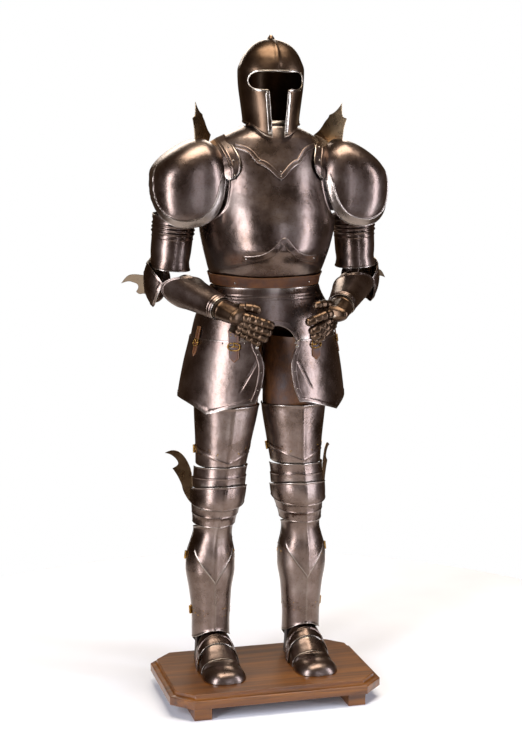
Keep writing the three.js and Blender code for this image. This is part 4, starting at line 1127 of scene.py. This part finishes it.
def faceStripForm(u, v):
    # the bright strip round the face: from the edge of the opening outward
    inner, outer = faceStripLines
    at = u * (len(inner) - 1)
    i = min(len(inner) - 2, int(at))
    a = [mix(inner[i][k], inner[i + 1][k], at - i) for k in (0, 1)]
    b = [mix(outer[i][k], outer[i + 1][k], at - i) for k in (0, 1)]
    x, z = mix(a[0], b[0], v), mix(a[1], b[1], v)
    return helmetAt(x, z, 1.3 * min(1, 6 * min(v, 1 - v)) ** 0.5 - 0.3)


def evenLine(line, count):
    # the same line as so many points, evenly apart
    lengths = [0.0]
    for (x0, z0), (x1, z1) in zip(line, line[1:]):
        lengths.append(lengths[-1] + math.hypot(x1 - x0, z1 - z0))
    points, i = [], 0
    for k in range(count):
        want = lengths[-1] * k / (count - 1)
        while i < len(line) - 2 and lengths[i + 1] < want:
            i += 1
        t = (want - lengths[i]) / ((lengths[i + 1] - lengths[i]) or 1)
        points.append(tuple(mix(line[i][c], line[i + 1][c], t) for c in (0, 1)))
    return points


# the mouth strip is wider than the one round the eyes
nearLine = evenLine(faceLine(0.6, helmet["mouthFoot"]), helmet["stripPoints"])
farLine = []
for i, (x, z) in enumerate(nearLine):
    before, after = nearLine[max(0, i - 1)], nearLine[min(len(nearLine) - 1, i + 1)]
    ax, az = after[0] - before[0], after[1] - before[1]
    length = math.hypot(ax, az) or 1
    wide = mix(helmet["eyeStrip"], helmet["mouthStrip"], smooth(clamp((1782 - z) / 14, 0, 1)))
    farLine.append((x + wide * az / length, z - wide * ax / length))
faceStripLines = (nearLine, farLine)
plate("helmet_face_strip", brightSteel, "dark_steel", faceStripForm, 400, 12, ["helmet"],
      wall=0.8, edge=0, wornWidth=2.0, flip=True)
for x, z in ((0, 1829), (36, 1829), (70, 1824), (68, 1776)):
    rivetOn("steel", helmetAt, x, z, 1.0, 1.8, 1.2)
for z in range(1666, 1770, 14):
    near = mix(helmet["mouthLow"], helmet["mouthTop"], (z - helmet["mouthFoot"]) / 116)
    rivetOn("steel", helmetAt, near + 6.5, z, 0.9, 1.0, 0.8)
rivetOn("dark", helmetAt, 71, 1683, 0.4, 4.2, 2.6)
print("the helmet is made")

# Shoulders: plates of one rounded form, each a cap spread from its own middle direction
shoulder = {"at": (234, -10, 1508), "reach": (112, 114, 138), "full": 0.84, "rearOut": -6.4,
            "fallFrom": 185, "fallWide": 150, "fall": 0.28, "flat": 0.66,
            # the rim in degrees from the plate's edge, its bead, and the way that it faces
            "rimWide": 14.5, "rimBead": 13.4, "rimMiddle": 0.78, "rimHigh": 1.8}


def superPoint(centre, reach, full, direction, out=0.0):
    return tuple(centre[k] + (reach[k] + out) * signedPower(direction[k], full) for k in range(3))


def capForm(centre, reach, full, pole, spread, out, raised=None):
    # a cap of a rounded block, opened from its pole by the spread in degrees at each turn
    axis = Vector(pole).normalized()
    up = (Vector((0, 0, 1)) - axis * axis.z).normalized()
    side = up.cross(axis) * -1
    side = side if side.x > 0 else -side

    def form(u, v):
        turn = u * 2 * math.pi
        widest = spread(math.degrees(turn))[1]
        away = rad(widest) * v
        planar = side * math.cos(turn) + up * math.sin(turn)
        direction = (planar * math.sin(away) + axis * math.cos(away)).normalized()
        lift = raised(u, v, widest * (1 - v)) if raised else 0
        x, y, z = superPoint(centre, reach, full, direction, out + lift)
        if full < 1:
            # the front and back are flatter than the rest
            y = centre[1] + (reach[1] + out + lift) * signedPower(direction.y, shoulder["flat"])
        if full < 1 and z > centre[2]:
            # the top falls away from the neck toward the arm
            fall = smooth(clamp((x - shoulder["fallFrom"]) / shoulder["fallWide"], 0, 1))
            z = centre[2] + (z - centre[2]) * (1 - shoulder["fall"] * fall)
        return (x, y, z)
    return form


frontSpread = tableCurve([
    # turn from the outer side and then up, spread, both in degrees
    [0, 82], [45, 92], [90, 94], [135, 82], [180, 51], [225, 45], [270, 49], [315, 60], [360, 82],
])
rearSpread = tableCurve([
    [0, 90], [45, 90], [90, 86], [135, 73.1], [180, 45], [225, 38], [270, 33], [315, 35],
    [360, 88],
])


def rimShown(u):
    return clamp(math.cos((u - shoulder["rimMiddle"]) * 2 * math.pi) * 4 + 2, 0, 1)


def pauldronRim(u, v, toEdge):
    # the lower and front edge carries a broad raised rim, some 33 mm wide, rolled at both sides
    rim = shoulder["rimHigh"] * smooth(clamp((shoulder["rimWide"] - toEdge) / 0.7, 0, 1))
    beads = 0.9 * bump(toEdge, shoulder["rimBead"], 0.7) + 1.0 * bump(toEdge, 1.0, 0.8)
    return (rim + beads) * rimShown(u)


def pauldronPolish(u, v):
    toEdge = frontSpread(u * 360)[1] * (1 - v)
    band = 0.5 * clamp((shoulder["rimWide"] - toEdge) / 0.7, 0, 1)
    return (band + 0.4 * bump(toEdge, shoulder["rimBead"], 0.9)) * rimShown(u)


platePair("pauldron_plate", agedSteel, "plate_steel", capForm(
    shoulder["at"], shoulder["reach"], shoulder["full"], (0.08, -1, 0), frontSpread, 0,
    pauldronRim), 200, 150, "pauldron", closed=True, flip=True, polish=pauldronPolish)


def rearLames(u, v, toEdge):
    # two lames step down behind the front plate, each with a rolled edge
    step = 1.6 * sum(smooth(clamp((toEdge - at) / 0.8, 0, 1)) for at in (11, 22))
    rolls = bump(toEdge, 1, 0.8) + bump(toEdge, 12, 0.7) + bump(toEdge, 23, 0.7)
    return step + 0.9 * rolls - 3.2


platePair("pauldron_rear_plate", agedSteel, "plate_steel", capForm(
    shoulder["at"], shoulder["reach"], shoulder["full"], (0.08, 1, 0), rearSpread,
    shoulder["rearOut"], rearLames), 160, 110, "pauldron_rear", closed=True)


# Two stepped lames close the shoulder toward the neck: their inner and outer edge lines
innerLine = tableCurve([
    # share of the length from the top, x, y, z
    [0, 132, -24, 1655], [0.33, 117, -80, 1617], [0.7, 106, -108, 1578], [0.9, 110, -114, 1552],
    [1, 124, -113, 1535],
])
outerLine = tableCurve([
    [0, 184, -20, 1628], [0.33, 172, -60, 1594], [0.7, 160, -84, 1560], [0.9, 150, -98, 1540],
    [1, 140, -106, 1530],
])
lameOut = Vector((0.30, -0.78, 0.55))     # the way that the lames swell


def neckLameForm(u, v):
    a, b = Vector(innerLine(u)[1:]), Vector(outerLine(u)[1:])
    second = smooth(clamp((v - 0.46) / 0.04, 0, 1))
    ends = smooth(clamp(u / 0.15, 0, 1)) * smooth(clamp((1 - u) / 0.2, 0, 1))
    lift = 3 * math.sin(math.pi * v) - 1.6 * second + 2.6 * ends
    lift += 1.0 * (bump(v, 0.04, 0.03) + bump(v, 0.52, 0.03) + bump(v, 0.40, 0.02))
    return tuple(a.lerp(b, v) + lameOut * lift)


platePair("neck_lame_plate", agedSteel, "plate_steel", neckLameForm, 90, 120,
          "pauldron_neck_lame")
for u, v in ((0.28, 0.22), (0.62, 0.30), (0.95, 0.25), (0.45, 0.75)):
    rivet("steel", neckLameForm(u, v), tuple(lameOut.normalized()), 3.0, 2.0)
# the toothed guard stands in the top of the shoulder; its outline runs back and up
fin = {
    "origin": (232, -44, 0), "along": (-66, 78), "thick": 2, "worn": 0.35,
    "outline": [(46, 1560), (32, 1598), (20, 1624), (26, 1630), (21, 1673), (11, 1700),
                (26, 1704), (28, 1722), (28, 1744), (38, 1730), (54, 1716), (70, 1710),
                (73, 1702), (84, 1692), (96, 1674), (108, 1662), (123, 1652), (112, 1636),
                (88, 1600)],
    "sharp": [(28, 1744), (11, 1700), (70, 1710), (20, 1624), (123, 1652)],
}
wingPair("fin", fin, strawSteel, "pauldron_fin")
print("the shoulders are made")


# Arms: tubes about a straight axis, back is the direction that the second axis faces
def axisFrame(start, end, back=(0, 1, 0)):
    axis = (Vector(end) - Vector(start)).normalized()
    rear = (Vector(back) - axis * Vector(back).dot(axis)).normalized()
    side = rear.cross(axis)
    return lambda x, y, s: tuple(Vector(start) + side * x + rear * y + axis * s)


def tubeForm(place, line, start, end, lift=lambda a, s, v: 0.0):
    # a tube through the sections of a line; start and end are its edges at each angle
    def form(u, v):
        angle = u * 2 * math.pi
        s = mix(start(angle), end(angle), v)
        _, half, front, back = line(s)
        out = lift(angle, s, v)
        x, y = onSection(half + out, front + out, back + out, angle)
        return place(x, y, s)
    return form


arm = {"top": (262, 12, 1480), "elbow": (283, 34, 1240), "elbowReach": (70, 72, 95),
       "elbowPole": (0.78, 0.62, 0), "upperFrom": 36, "upperTo": 188, "foreStart": 52,
       "foreEnd": 204, "cuffEnd": 216, "cuffShort": 92, "cuffRise": 70, "cuffPoint": rad(88),
       "palmFrom": -8, "palmTo": 77, "foreFrom": (279, 18, 1236), "wrist": (172, -165, 1178),
       "knuckles": (128, -214, 1160)}
upperFrame = axisFrame(arm["elbow"], arm["top"])
upperLine = tableCurve([
    # place along the arm from the elbow up, half width, front, back
    [32, 61.1, 61.1, 61.1], [46, 57.6, 57.6, 57.6], [60, 55.5, 55.5, 55.5], [76, 57, 57, 57],
    [90, 58, 58, 58], [134, 59, 59, 59], [142, 59.6, 59.6, 59.6], [166, 59.6, 59.6, 59.6],
    [170, 60, 60, 60], [190, 63.6, 63.6, 63.6],
])


def upperLift(a, s, v):
    # three turned beads round the arm, and a rolled line at each end
    beads = 3.0 * sum(bump(s, at, 2.9) for at in (141, 152, 163))
    return beads + 1.3 * (bump(s, 126, 1.8) + bump(s, 178, 1.8)) + 1.2 * bump(s, 38, 2.4)


platePair("rerebrace_tube", agedSteel, "plate_steel", tubeForm(
    upperFrame, upperLine, lambda a: arm["upperFrom"], lambda a: arm["upperTo"], upperLift),
    130, 170, "rerebrace",
    closed=True)


def couterLift(u, v, toEdge):
    # a raised border along the edge and a ring half way out
    border = 1.3 * smooth(clamp((8 - toEdge) / 0.9, 0, 1)) + 1.0 * bump(toEdge, 7.2, 0.7)
    return border + 1.2 * bump(v, 0.45, 0.02)


elbowSpread = tableCurve([
    # turn from the outer side and then up, spread, both in degrees
    [0, 106], [45, 52], [90, 35], [135, 49], [180, 70], [225, 58], [270, 45], [315, 76],
    [360, 106],
])
platePair("couter_cup", agedSteel, "plate_steel", capForm(
    arm["elbow"], arm["elbowReach"], 1.0, arm["elbowPole"], elbowSpread, 0, couterLift),
    140, 80, "couter", closed=True)
elbowWing = {
    "origin": (337, 70, 1240), "along": (0.83, 0.56), "thick": 2, "worn": 0.35,
    "outline": [(-39, 78), (-10, 66), (0, 40), (-3, 17), (8, 12), (36, 15), (60, 11), (80, -14),
                (56, -6), (40, -10), (28, -14), (25, -24), (33, -36), (24, -44), (7, -40),
                (-8, -44), (-8, -58), (-19, -56), (-29, -36), (-56, 20)],
    "sharp": [(80, -14), (33, -36)],
}
wingPair("elbow_wing", elbowWing, roughSteel, "couter")
foreFrame = axisFrame(arm["foreFrom"], arm["wrist"], (0, 0, 1))
vambraceLine = tableCurve([[30, 46, 44, 44], [110, 42, 38, 38], [205, 36.1, 31.9, 31.9]])
platePair("vambrace_tube", darkSteel, "dark_steel", tubeForm(
    foreFrame, vambraceLine, lambda a: arm["foreStart"], lambda a: arm["foreEnd"],
    lambda a, s, v: 0.9 * bump(s, 55, 2)), 90, 60, "vambrace", closed=True)
cuffLine = tableCurve([
    [0, 58, 57, 56], [60, 52.6, 51.6, 50.6], [120, 48, 44, 43], [216, 38.5, 34, 34],
])


def cuffEdge(a):
    # the cuff runs to a point on the outer side of the arm
    away = math.atan2(math.sin(a - arm["cuffPoint"]), math.cos(a - arm["cuffPoint"]))
    return arm["cuffShort"] - arm["cuffRise"] * bump(away, 0, rad(62))


def cuffLift(a, s, v):
    # a double raised border along the flared edge, and a bead at the wrist
    fromEdge = s - cuffEdge(a)
    return (1.5 * bump(fromEdge, 2, 1.9) + 1.3 * bump(fromEdge, 8, 1.7)
            + 1.4 * bump(s, 206, 2.2) + 1.2 * bump(s, 198, 1.6))


platePair("cuff_tube", agedSteel, "plate_steel", tubeForm(
    foreFrame, cuffLine, cuffEdge, lambda a: arm["cuffEnd"], cuffLift), 130, 130,
    "gauntlet_cuff", closed=True)

# Hands: a flattened tube from the wrist to the knuckles, and fingers of short scales
palmFrame = axisFrame(arm["wrist"], arm["knuckles"], (0, 0, 1))
palmLine = tableCurve([[-10, 35, 30, 30], [30, 43, 28, 27], [62, 47, 23, 23], [70, 42, 18, 18],
                       [75, 28, 10, 10], [77, 10, 3, 3]])


def palmLift(a, s, v):
    # ribs fan out from the wrist over the back of the hand
    ribs = 1.2 * math.cos(a * 9) * smooth(clamp(s / 20, 0, 1)) * max(0.0, -math.cos(a)) ** 0.5
    ribs *= clamp((64 - s) / 8, 0, 1)
    return ribs + 1.3 * bump(s, 4, 2) + 1.3 * bump(s, 60, 2)


fingerWays = {
    # for each hand: radius and the middle line of each finger, from the knuckle to the tip
    "right": [
        (11.5, [(151, -198, 1167), (112, -226, 1160), (72, -232, 1146), (40, -230, 1134)]),
        (11.5, [(146, -192, 1154), (110, -216, 1141), (74, -226, 1126), (46, -226, 1114)]),
        (11, [(146, -180, 1140), (112, -204, 1124), (80, -216, 1108), (54, -218, 1096)]),
        (10, [(148, -172, 1128), (118, -192, 1110), (92, -204, 1094), (72, -208, 1084)]),
        (12, [(142, -186, 1182), (104, -206, 1186), (72, -216, 1176)]),
    ],
    "left": [
        (11.5, [(151, -198, 1167), (112, -228, 1164), (76, -232, 1152), (52, -222, 1138)]),
        (11.5, [(146, -194, 1152), (112, -220, 1140), (82, -226, 1124), (66, -210, 1112)]),
        (11, [(146, -182, 1138), (116, -208, 1122), (90, -214, 1106), (76, -198, 1094)]),
        (10, [(148, -172, 1126), (122, -194, 1108), (100, -200, 1092), (88, -186, 1082)]),
        (12, [(142, -186, 1182), (106, -206, 1190), (76, -216, 1186)]),
    ],
}
finger = {"scale": 17, "lap": 1.5, "stout": 1.2, "taper": 0.10, "wall": 1.2,
          "back": (0.3, -0.6, 0.7)}     # back: the way that the back of the hand faces


def fingerForm(way, radius):
    # the middle line is eased into one bend, and each scale laps over the one before it
    points = [Vector(p) for p in way]
    for _ in range(3):
        eased = [points[0]]
        for a, b in zip(points, points[1:]):
            eased += [a.lerp(b, 0.25), a.lerp(b, 0.75)]
        points = eased + [points[-1]]
    lengths = [0.0]
    for a, b in zip(points, points[1:]):
        lengths.append(lengths[-1] + (b - a).length)
    total = lengths[-1]

    def form(u, v):
        s = v * total
        i = 0
        while i < len(points) - 2 and lengths[i + 1] < s:
            i += 1
        t = (s - lengths[i]) / (lengths[i + 1] - lengths[i])
        centre = points[i].lerp(points[i + 1], t)
        axis = (points[min(i + 2, len(points) - 1)] - points[max(0, i - 1)]).normalized()
        back = Vector(finger["back"])
        rear = (back - axis * back.dot(axis)).normalized()
        side = rear.cross(axis)
        lap = finger["lap"] * (1 - (s / finger["scale"]) % 1)
        tip = math.sqrt(max(0.0, 1 - max(0.0, (s - total + radius) / radius) ** 2))
        r = (finger["stout"] * radius * (1 - finger["taper"] * v) + lap - 1.0) * max(0.05, tip)
        angle = u * 2 * math.pi
        return tuple(centre + side * (r * math.cos(angle)) + rear * (r * math.sin(angle)))
    return form


for side, turned in bothSides:
    node = [f"{side}_gauntlet_hand"]
    plate(f"{side}_palm", darkSteel, "dark_steel", tubeForm(
        palmFrame, palmLine, lambda a: arm["palmFrom"], lambda a: arm["palmTo"], palmLift),
        140, 80, node, closed=True, mirror=turned)
    for number, (radius, way) in enumerate(fingerWays[side]):
        plate(f"{side}_finger_{number + 1}", darkSteel, "dark_steel", fingerForm(way, radius),
              32, 150, node, closed=True, mirror=turned, wall=finger["wall"], edge=0)
print("the arms are made")

# Straps over the seam of the skirt, with their buckles
strap = {"x": 122, "high": 1108, "low": 1018, "wide": 26, "tip": 16, "lift": 3.0,
         "sideAngle": rad(72), "sideHigh": 1112, "sideLow": 1026, "sideWide": 20,
         # buckles: height of the middle, width, height, and the radius of the rod
         "buckle": (1062, 32, 21), "sideBuckle": (1066, 26, 19), "rod": 1.9, "over": 4.2}


def strapForm(surface, across, high, low, width, lift):
    # a strap that hangs down the surface to a pointed tip
    def form(u, v):
        z = mix(high, low, u)
        narrow = 1 - smooth(clamp((low + strap["tip"] - z) / strap["tip"], 0, 1)) ** 1.5
        w = width * (v - 0.5) * max(0.06, narrow)
        pressed = 0.5 * bump(abs(v - 0.5), 0.41, 0.04)
        return surface(across + w, z, lift + 0.5 * math.sin(z / 9) - pressed)
    return form


def angleAt(a, z, out=0.0):
    # the side of the hips, reached by the way round it in millimetres
    return hipPoint(strap["sideAngle"] + a / hipLine(z)[1], z, out)


def rod(bm, start, end, radius, segments, stretch=1.0):
    a, b = Vector(start), Vector(end)
    turn = Vector((0, 0, 1)).rotation_difference(b - a).to_matrix().to_4x4()
    bmesh.ops.create_cone(bm, cap_ends=True, segments=segments, radius1=radius * mm,
                          radius2=radius * mm, depth=(b - a).length * mm * stretch,
                          matrix=Matrix.Translation((a + b) / 2 * mm) @ turn)


def buckle(name, surface, across, size, mirror):
    # a square frame bent from a rod, with its bar and its tongue, laid on the strap
    z, width, high = size
    lift = skirt["out"] + strap["over"]
    bm = bmesh.new()
    corners = [(-1, -1), (1, -1), (1, 1), (-1, 1)]
    frameLine = roundedOutline([(a * width / 2, b * high / 2) for a, b in corners], 3)
    rods = [[surface(across + a, z + b, lift) for a, b in frameLine + frameLine[:1]],
            [surface(across - width / 2, z, lift), surface(across + width / 2, z, lift)],
            [surface(across, z, lift + 0.8), surface(across, z + high / 2 + 1.5, lift + 1.6)]]
    for line in rods:
        for a, b in zip(line, line[1:]):
            rod(bm, a, b, strap["rod"], 8, 1.1)
    toSide(bm, mirror)
    for f in bm.faces:
        f.smooth = len(f.verts) == 4
    finishPiece(objectFrom(bm, name), agedBrass, "plate_steel")


for side, turned in bothSides:
    plate(f"{side}_front_strap", strapLeather, "leather", strapForm(
        hipAt, strap["x"], strap["high"], strap["low"], strap["wide"],
        skirt["out"] + strap["lift"]), 110, 26, [f"{side}_tasset_strap"], mirror=turned,
        wall=hideWall)
    plate(f"{side}_side_strap", strapLeather, "leather", strapForm(
        angleAt, 0, strap["sideHigh"], strap["sideLow"], strap["sideWide"],
        skirt["out"] + strap["lift"]), 100, 22, mirror=turned, wall=hideWall)
    buckle(f"{side}_front_buckle", hipAt, strap["x"], strap["buckle"], turned)
    buckle(f"{side}_side_buckle", angleAt, 0, strap["sideBuckle"], turned)
for z in (1102, 1093):
    rivetOn("brass", hipAt, strap["x"] - 6, z, skirt["out"] + 3.2, 2.2, 1.4)
    rivetOn("brass", hipAt, strap["x"] + 6, z, skirt["out"] + 3.2, 2.2, 1.4)
    rivetOn("brass", angleAt, 0, z + 3, skirt["out"] + 3.2, 2.2, 1.4)


# Brass hinges on the outer side of the greaves and the thigh plates
hingeLeaf = {"wide": 26, "high": 24, "taper": 0.35, "lift": 1.6, "thick": 2.0,
             "barrelLift": 4.2, "barrel": 3.4}


def hinge(name, surface, z, mirror):
    bm = bmesh.new()
    bmesh.ops.create_grid(bm, x_segments=8, y_segments=6, size=0.5)
    for v in bm.verts:
        across = v.co.x * hingeLeaf["wide"] * (1 - hingeLeaf["taper"] * abs(v.co.y))
        v.co = Vector(surface(across, z + v.co.y * hingeLeaf["high"], hingeLeaf["lift"])) * mm
    bmesh.ops.solidify(bm, geom=bm.faces[:], thickness=-hingeLeaf["thick"] * mm)
    bmesh.ops.recalc_face_normals(bm, faces=bm.faces)
    ends = [surface(0, z + share * hingeLeaf["high"], hingeLeaf["barrelLift"])
            for share in (-0.5, 0.5)]
    rod(bm, ends[0], ends[1], hingeLeaf["barrel"], 14)
    toSide(bm, mirror)
    finishPiece(objectFrom(bm, name), agedBrass, "plate_steel")


def legSide(side):
    # the surface beside a seam of the leg, reached by the way round it in millimetres
    split = rad(side)

    def surface(a, z, out=0.0):
        return legPoint(split + side * a / legLine(z)[1], z, out)
    return surface


hingePlaces = (
    # name, degrees round the leg from the front, height
    ("ankle", 92, 236), ("calf", 92, 408), ("thigh", 96, 734), ("inner_thigh", -96, 734),
)
for side, turned in bothSides:
    for label, place, height in hingePlaces:
        hinge(f"{side}_{label}_hinge", legSide(place), height, turned)
makeRivets("steel_rivets", "steel", brightSteel, "plate_steel")
makeRivets("dark_rivets", "dark", darkSteel, "dark_steel")
makeRivets("brass_rivets", "brass", agedBrass, "plate_steel")
print("the straps, buckles, hinges and rivets are made")

# The setting: a pale round floor, soft light, and the camera
setting = {
    "floorRadius": 1.5, "focal": 76.2, "cameraAt": (-1.1836, -4.2792, 1.7071),
    "yaw": -15.28, "pitch": 9.175, "roll": 0.3435,
    "room": "#745a42", "roomStrength": 0.44, "paper": "#ffffff",
    # name, place, what it faces, width, height, watts, colour
    "lights": [
        ("softBoxLeft", (-3.0, -2.2, 1.2), (0, 0, 1.1), 1.0, 4.6, 250, "#e4ecff"),
        ("softBoxRight", (3.0, -1.9, 1.1), (0, 0, 1.0), 0.6, 4.4, 135, "#dde7ff"),
        ("stripFront", (0.9, -4.0, 1.2), (0, 0, 1.0), 0.16, 4.4, 30, "#dbe6ff"),
        ("softBoxTop", (0.2, -0.6, 4.2), (0, 0, 1.0), 2.6, 1.6, 150, "#fff8ee"),
        ("softBoxBack", (0.4, 3.0, 3.0), (0, 0, 1.0), 2.4, 1.4, 60, "#fff6ea"),
    ],
}


def paleMaterial():
    # seamless studio paper, quite matt
    material, tree, shader = newMaterial("paperSeamlessPale")
    where = addNode(tree, "ShaderNodeTexCoord").outputs["Object"]
    fibre = addNode(tree, "ShaderNodeTexNoise", {"Scale": 3.0, "Detail": 2.0}, {"Vector": where})
    tone = addNode(tree, "ShaderNodeValToRGB", {"stops": [(0.3, "#f1f1f2"), (0.7, "#f8f8f8")]},
                   {0: fibre.outputs[0]})
    tree.links.new(tone.outputs[0], shader.inputs["Base Color"])
    shader.inputs["Roughness"].default_value = 0.9
    return material


bm = bmesh.new()
bmesh.ops.create_circle(bm, cap_ends=True, segments=96, radius=setting["floorRadius"])
floor = objectFrom(bm, "studio_floor")
floor.data.materials.append(paleMaterial())
scene.collection.objects.link(floor)

# the room is a warm dim brown where the steel mirrors it, and pale paper behind the suit
world = bpy.data.worlds.new("studio")
scene.world = world
world.use_nodes = True
tree = world.node_tree
tree.nodes.clear()
seen = addNode(tree, "ShaderNodeLightPath").outputs["Is Camera Ray"]
room = addNode(tree, "ShaderNodeBackground", {0: toLinear(setting["room"]),
                                              1: setting["roomStrength"]})
paper = addNode(tree, "ShaderNodeBackground", {0: toLinear(setting["paper"]), 1: 1.0})
both = addNode(tree, "ShaderNodeMixShader", links={0: seen, 1: room.outputs[0],
                                                   2: paper.outputs[0]})
addNode(tree, "ShaderNodeOutputWorld", links={0: both.outputs[0]})
for name, at, target, wide, high, power, colour in setting["lights"]:
    light = bpy.data.lights.new(name, "AREA")
    light.shape = "RECTANGLE"
    light.size, light.size_y, light.energy = wide, high, power
    light.color = toLinear(colour)[:3]
    lamp = bpy.data.objects.new(name, light)
    lamp.location = at
    lamp.rotation_euler = (Vector(target) - Vector(at)).to_track_quat("-Z", "Y").to_euler()
    scene.collection.objects.link(lamp)

# the camera stands where the photo was taken from: turned, tipped down and rolled a little
yaw, pitch, roll = (rad(setting[k]) for k in ("yaw", "pitch", "roll"))
forward = Vector((-math.sin(yaw) * math.cos(pitch), math.cos(yaw) * math.cos(pitch),
                  -math.sin(pitch)))
right = Vector((math.cos(yaw), math.sin(yaw), 0))
upward = right.cross(forward)
across = math.cos(roll) * right + math.sin(roll) * upward
above = -math.sin(roll) * right + math.cos(roll) * upward
cameraData = bpy.data.cameras.new("camera")
cameraData.lens = setting["focal"]
camera = bpy.data.objects.new("camera", cameraData)
turn = Matrix((across, above, -forward)).transposed().to_4x4()
camera.matrix_world = Matrix.Translation(
    Vector(setting["cameraAt"]) + Vector((0, shiftY, 0))) @ turn
scene.collection.objects.link(camera)
scene.camera = camera
scene.view_settings.view_transform = "Standard"
print("the setting is made")
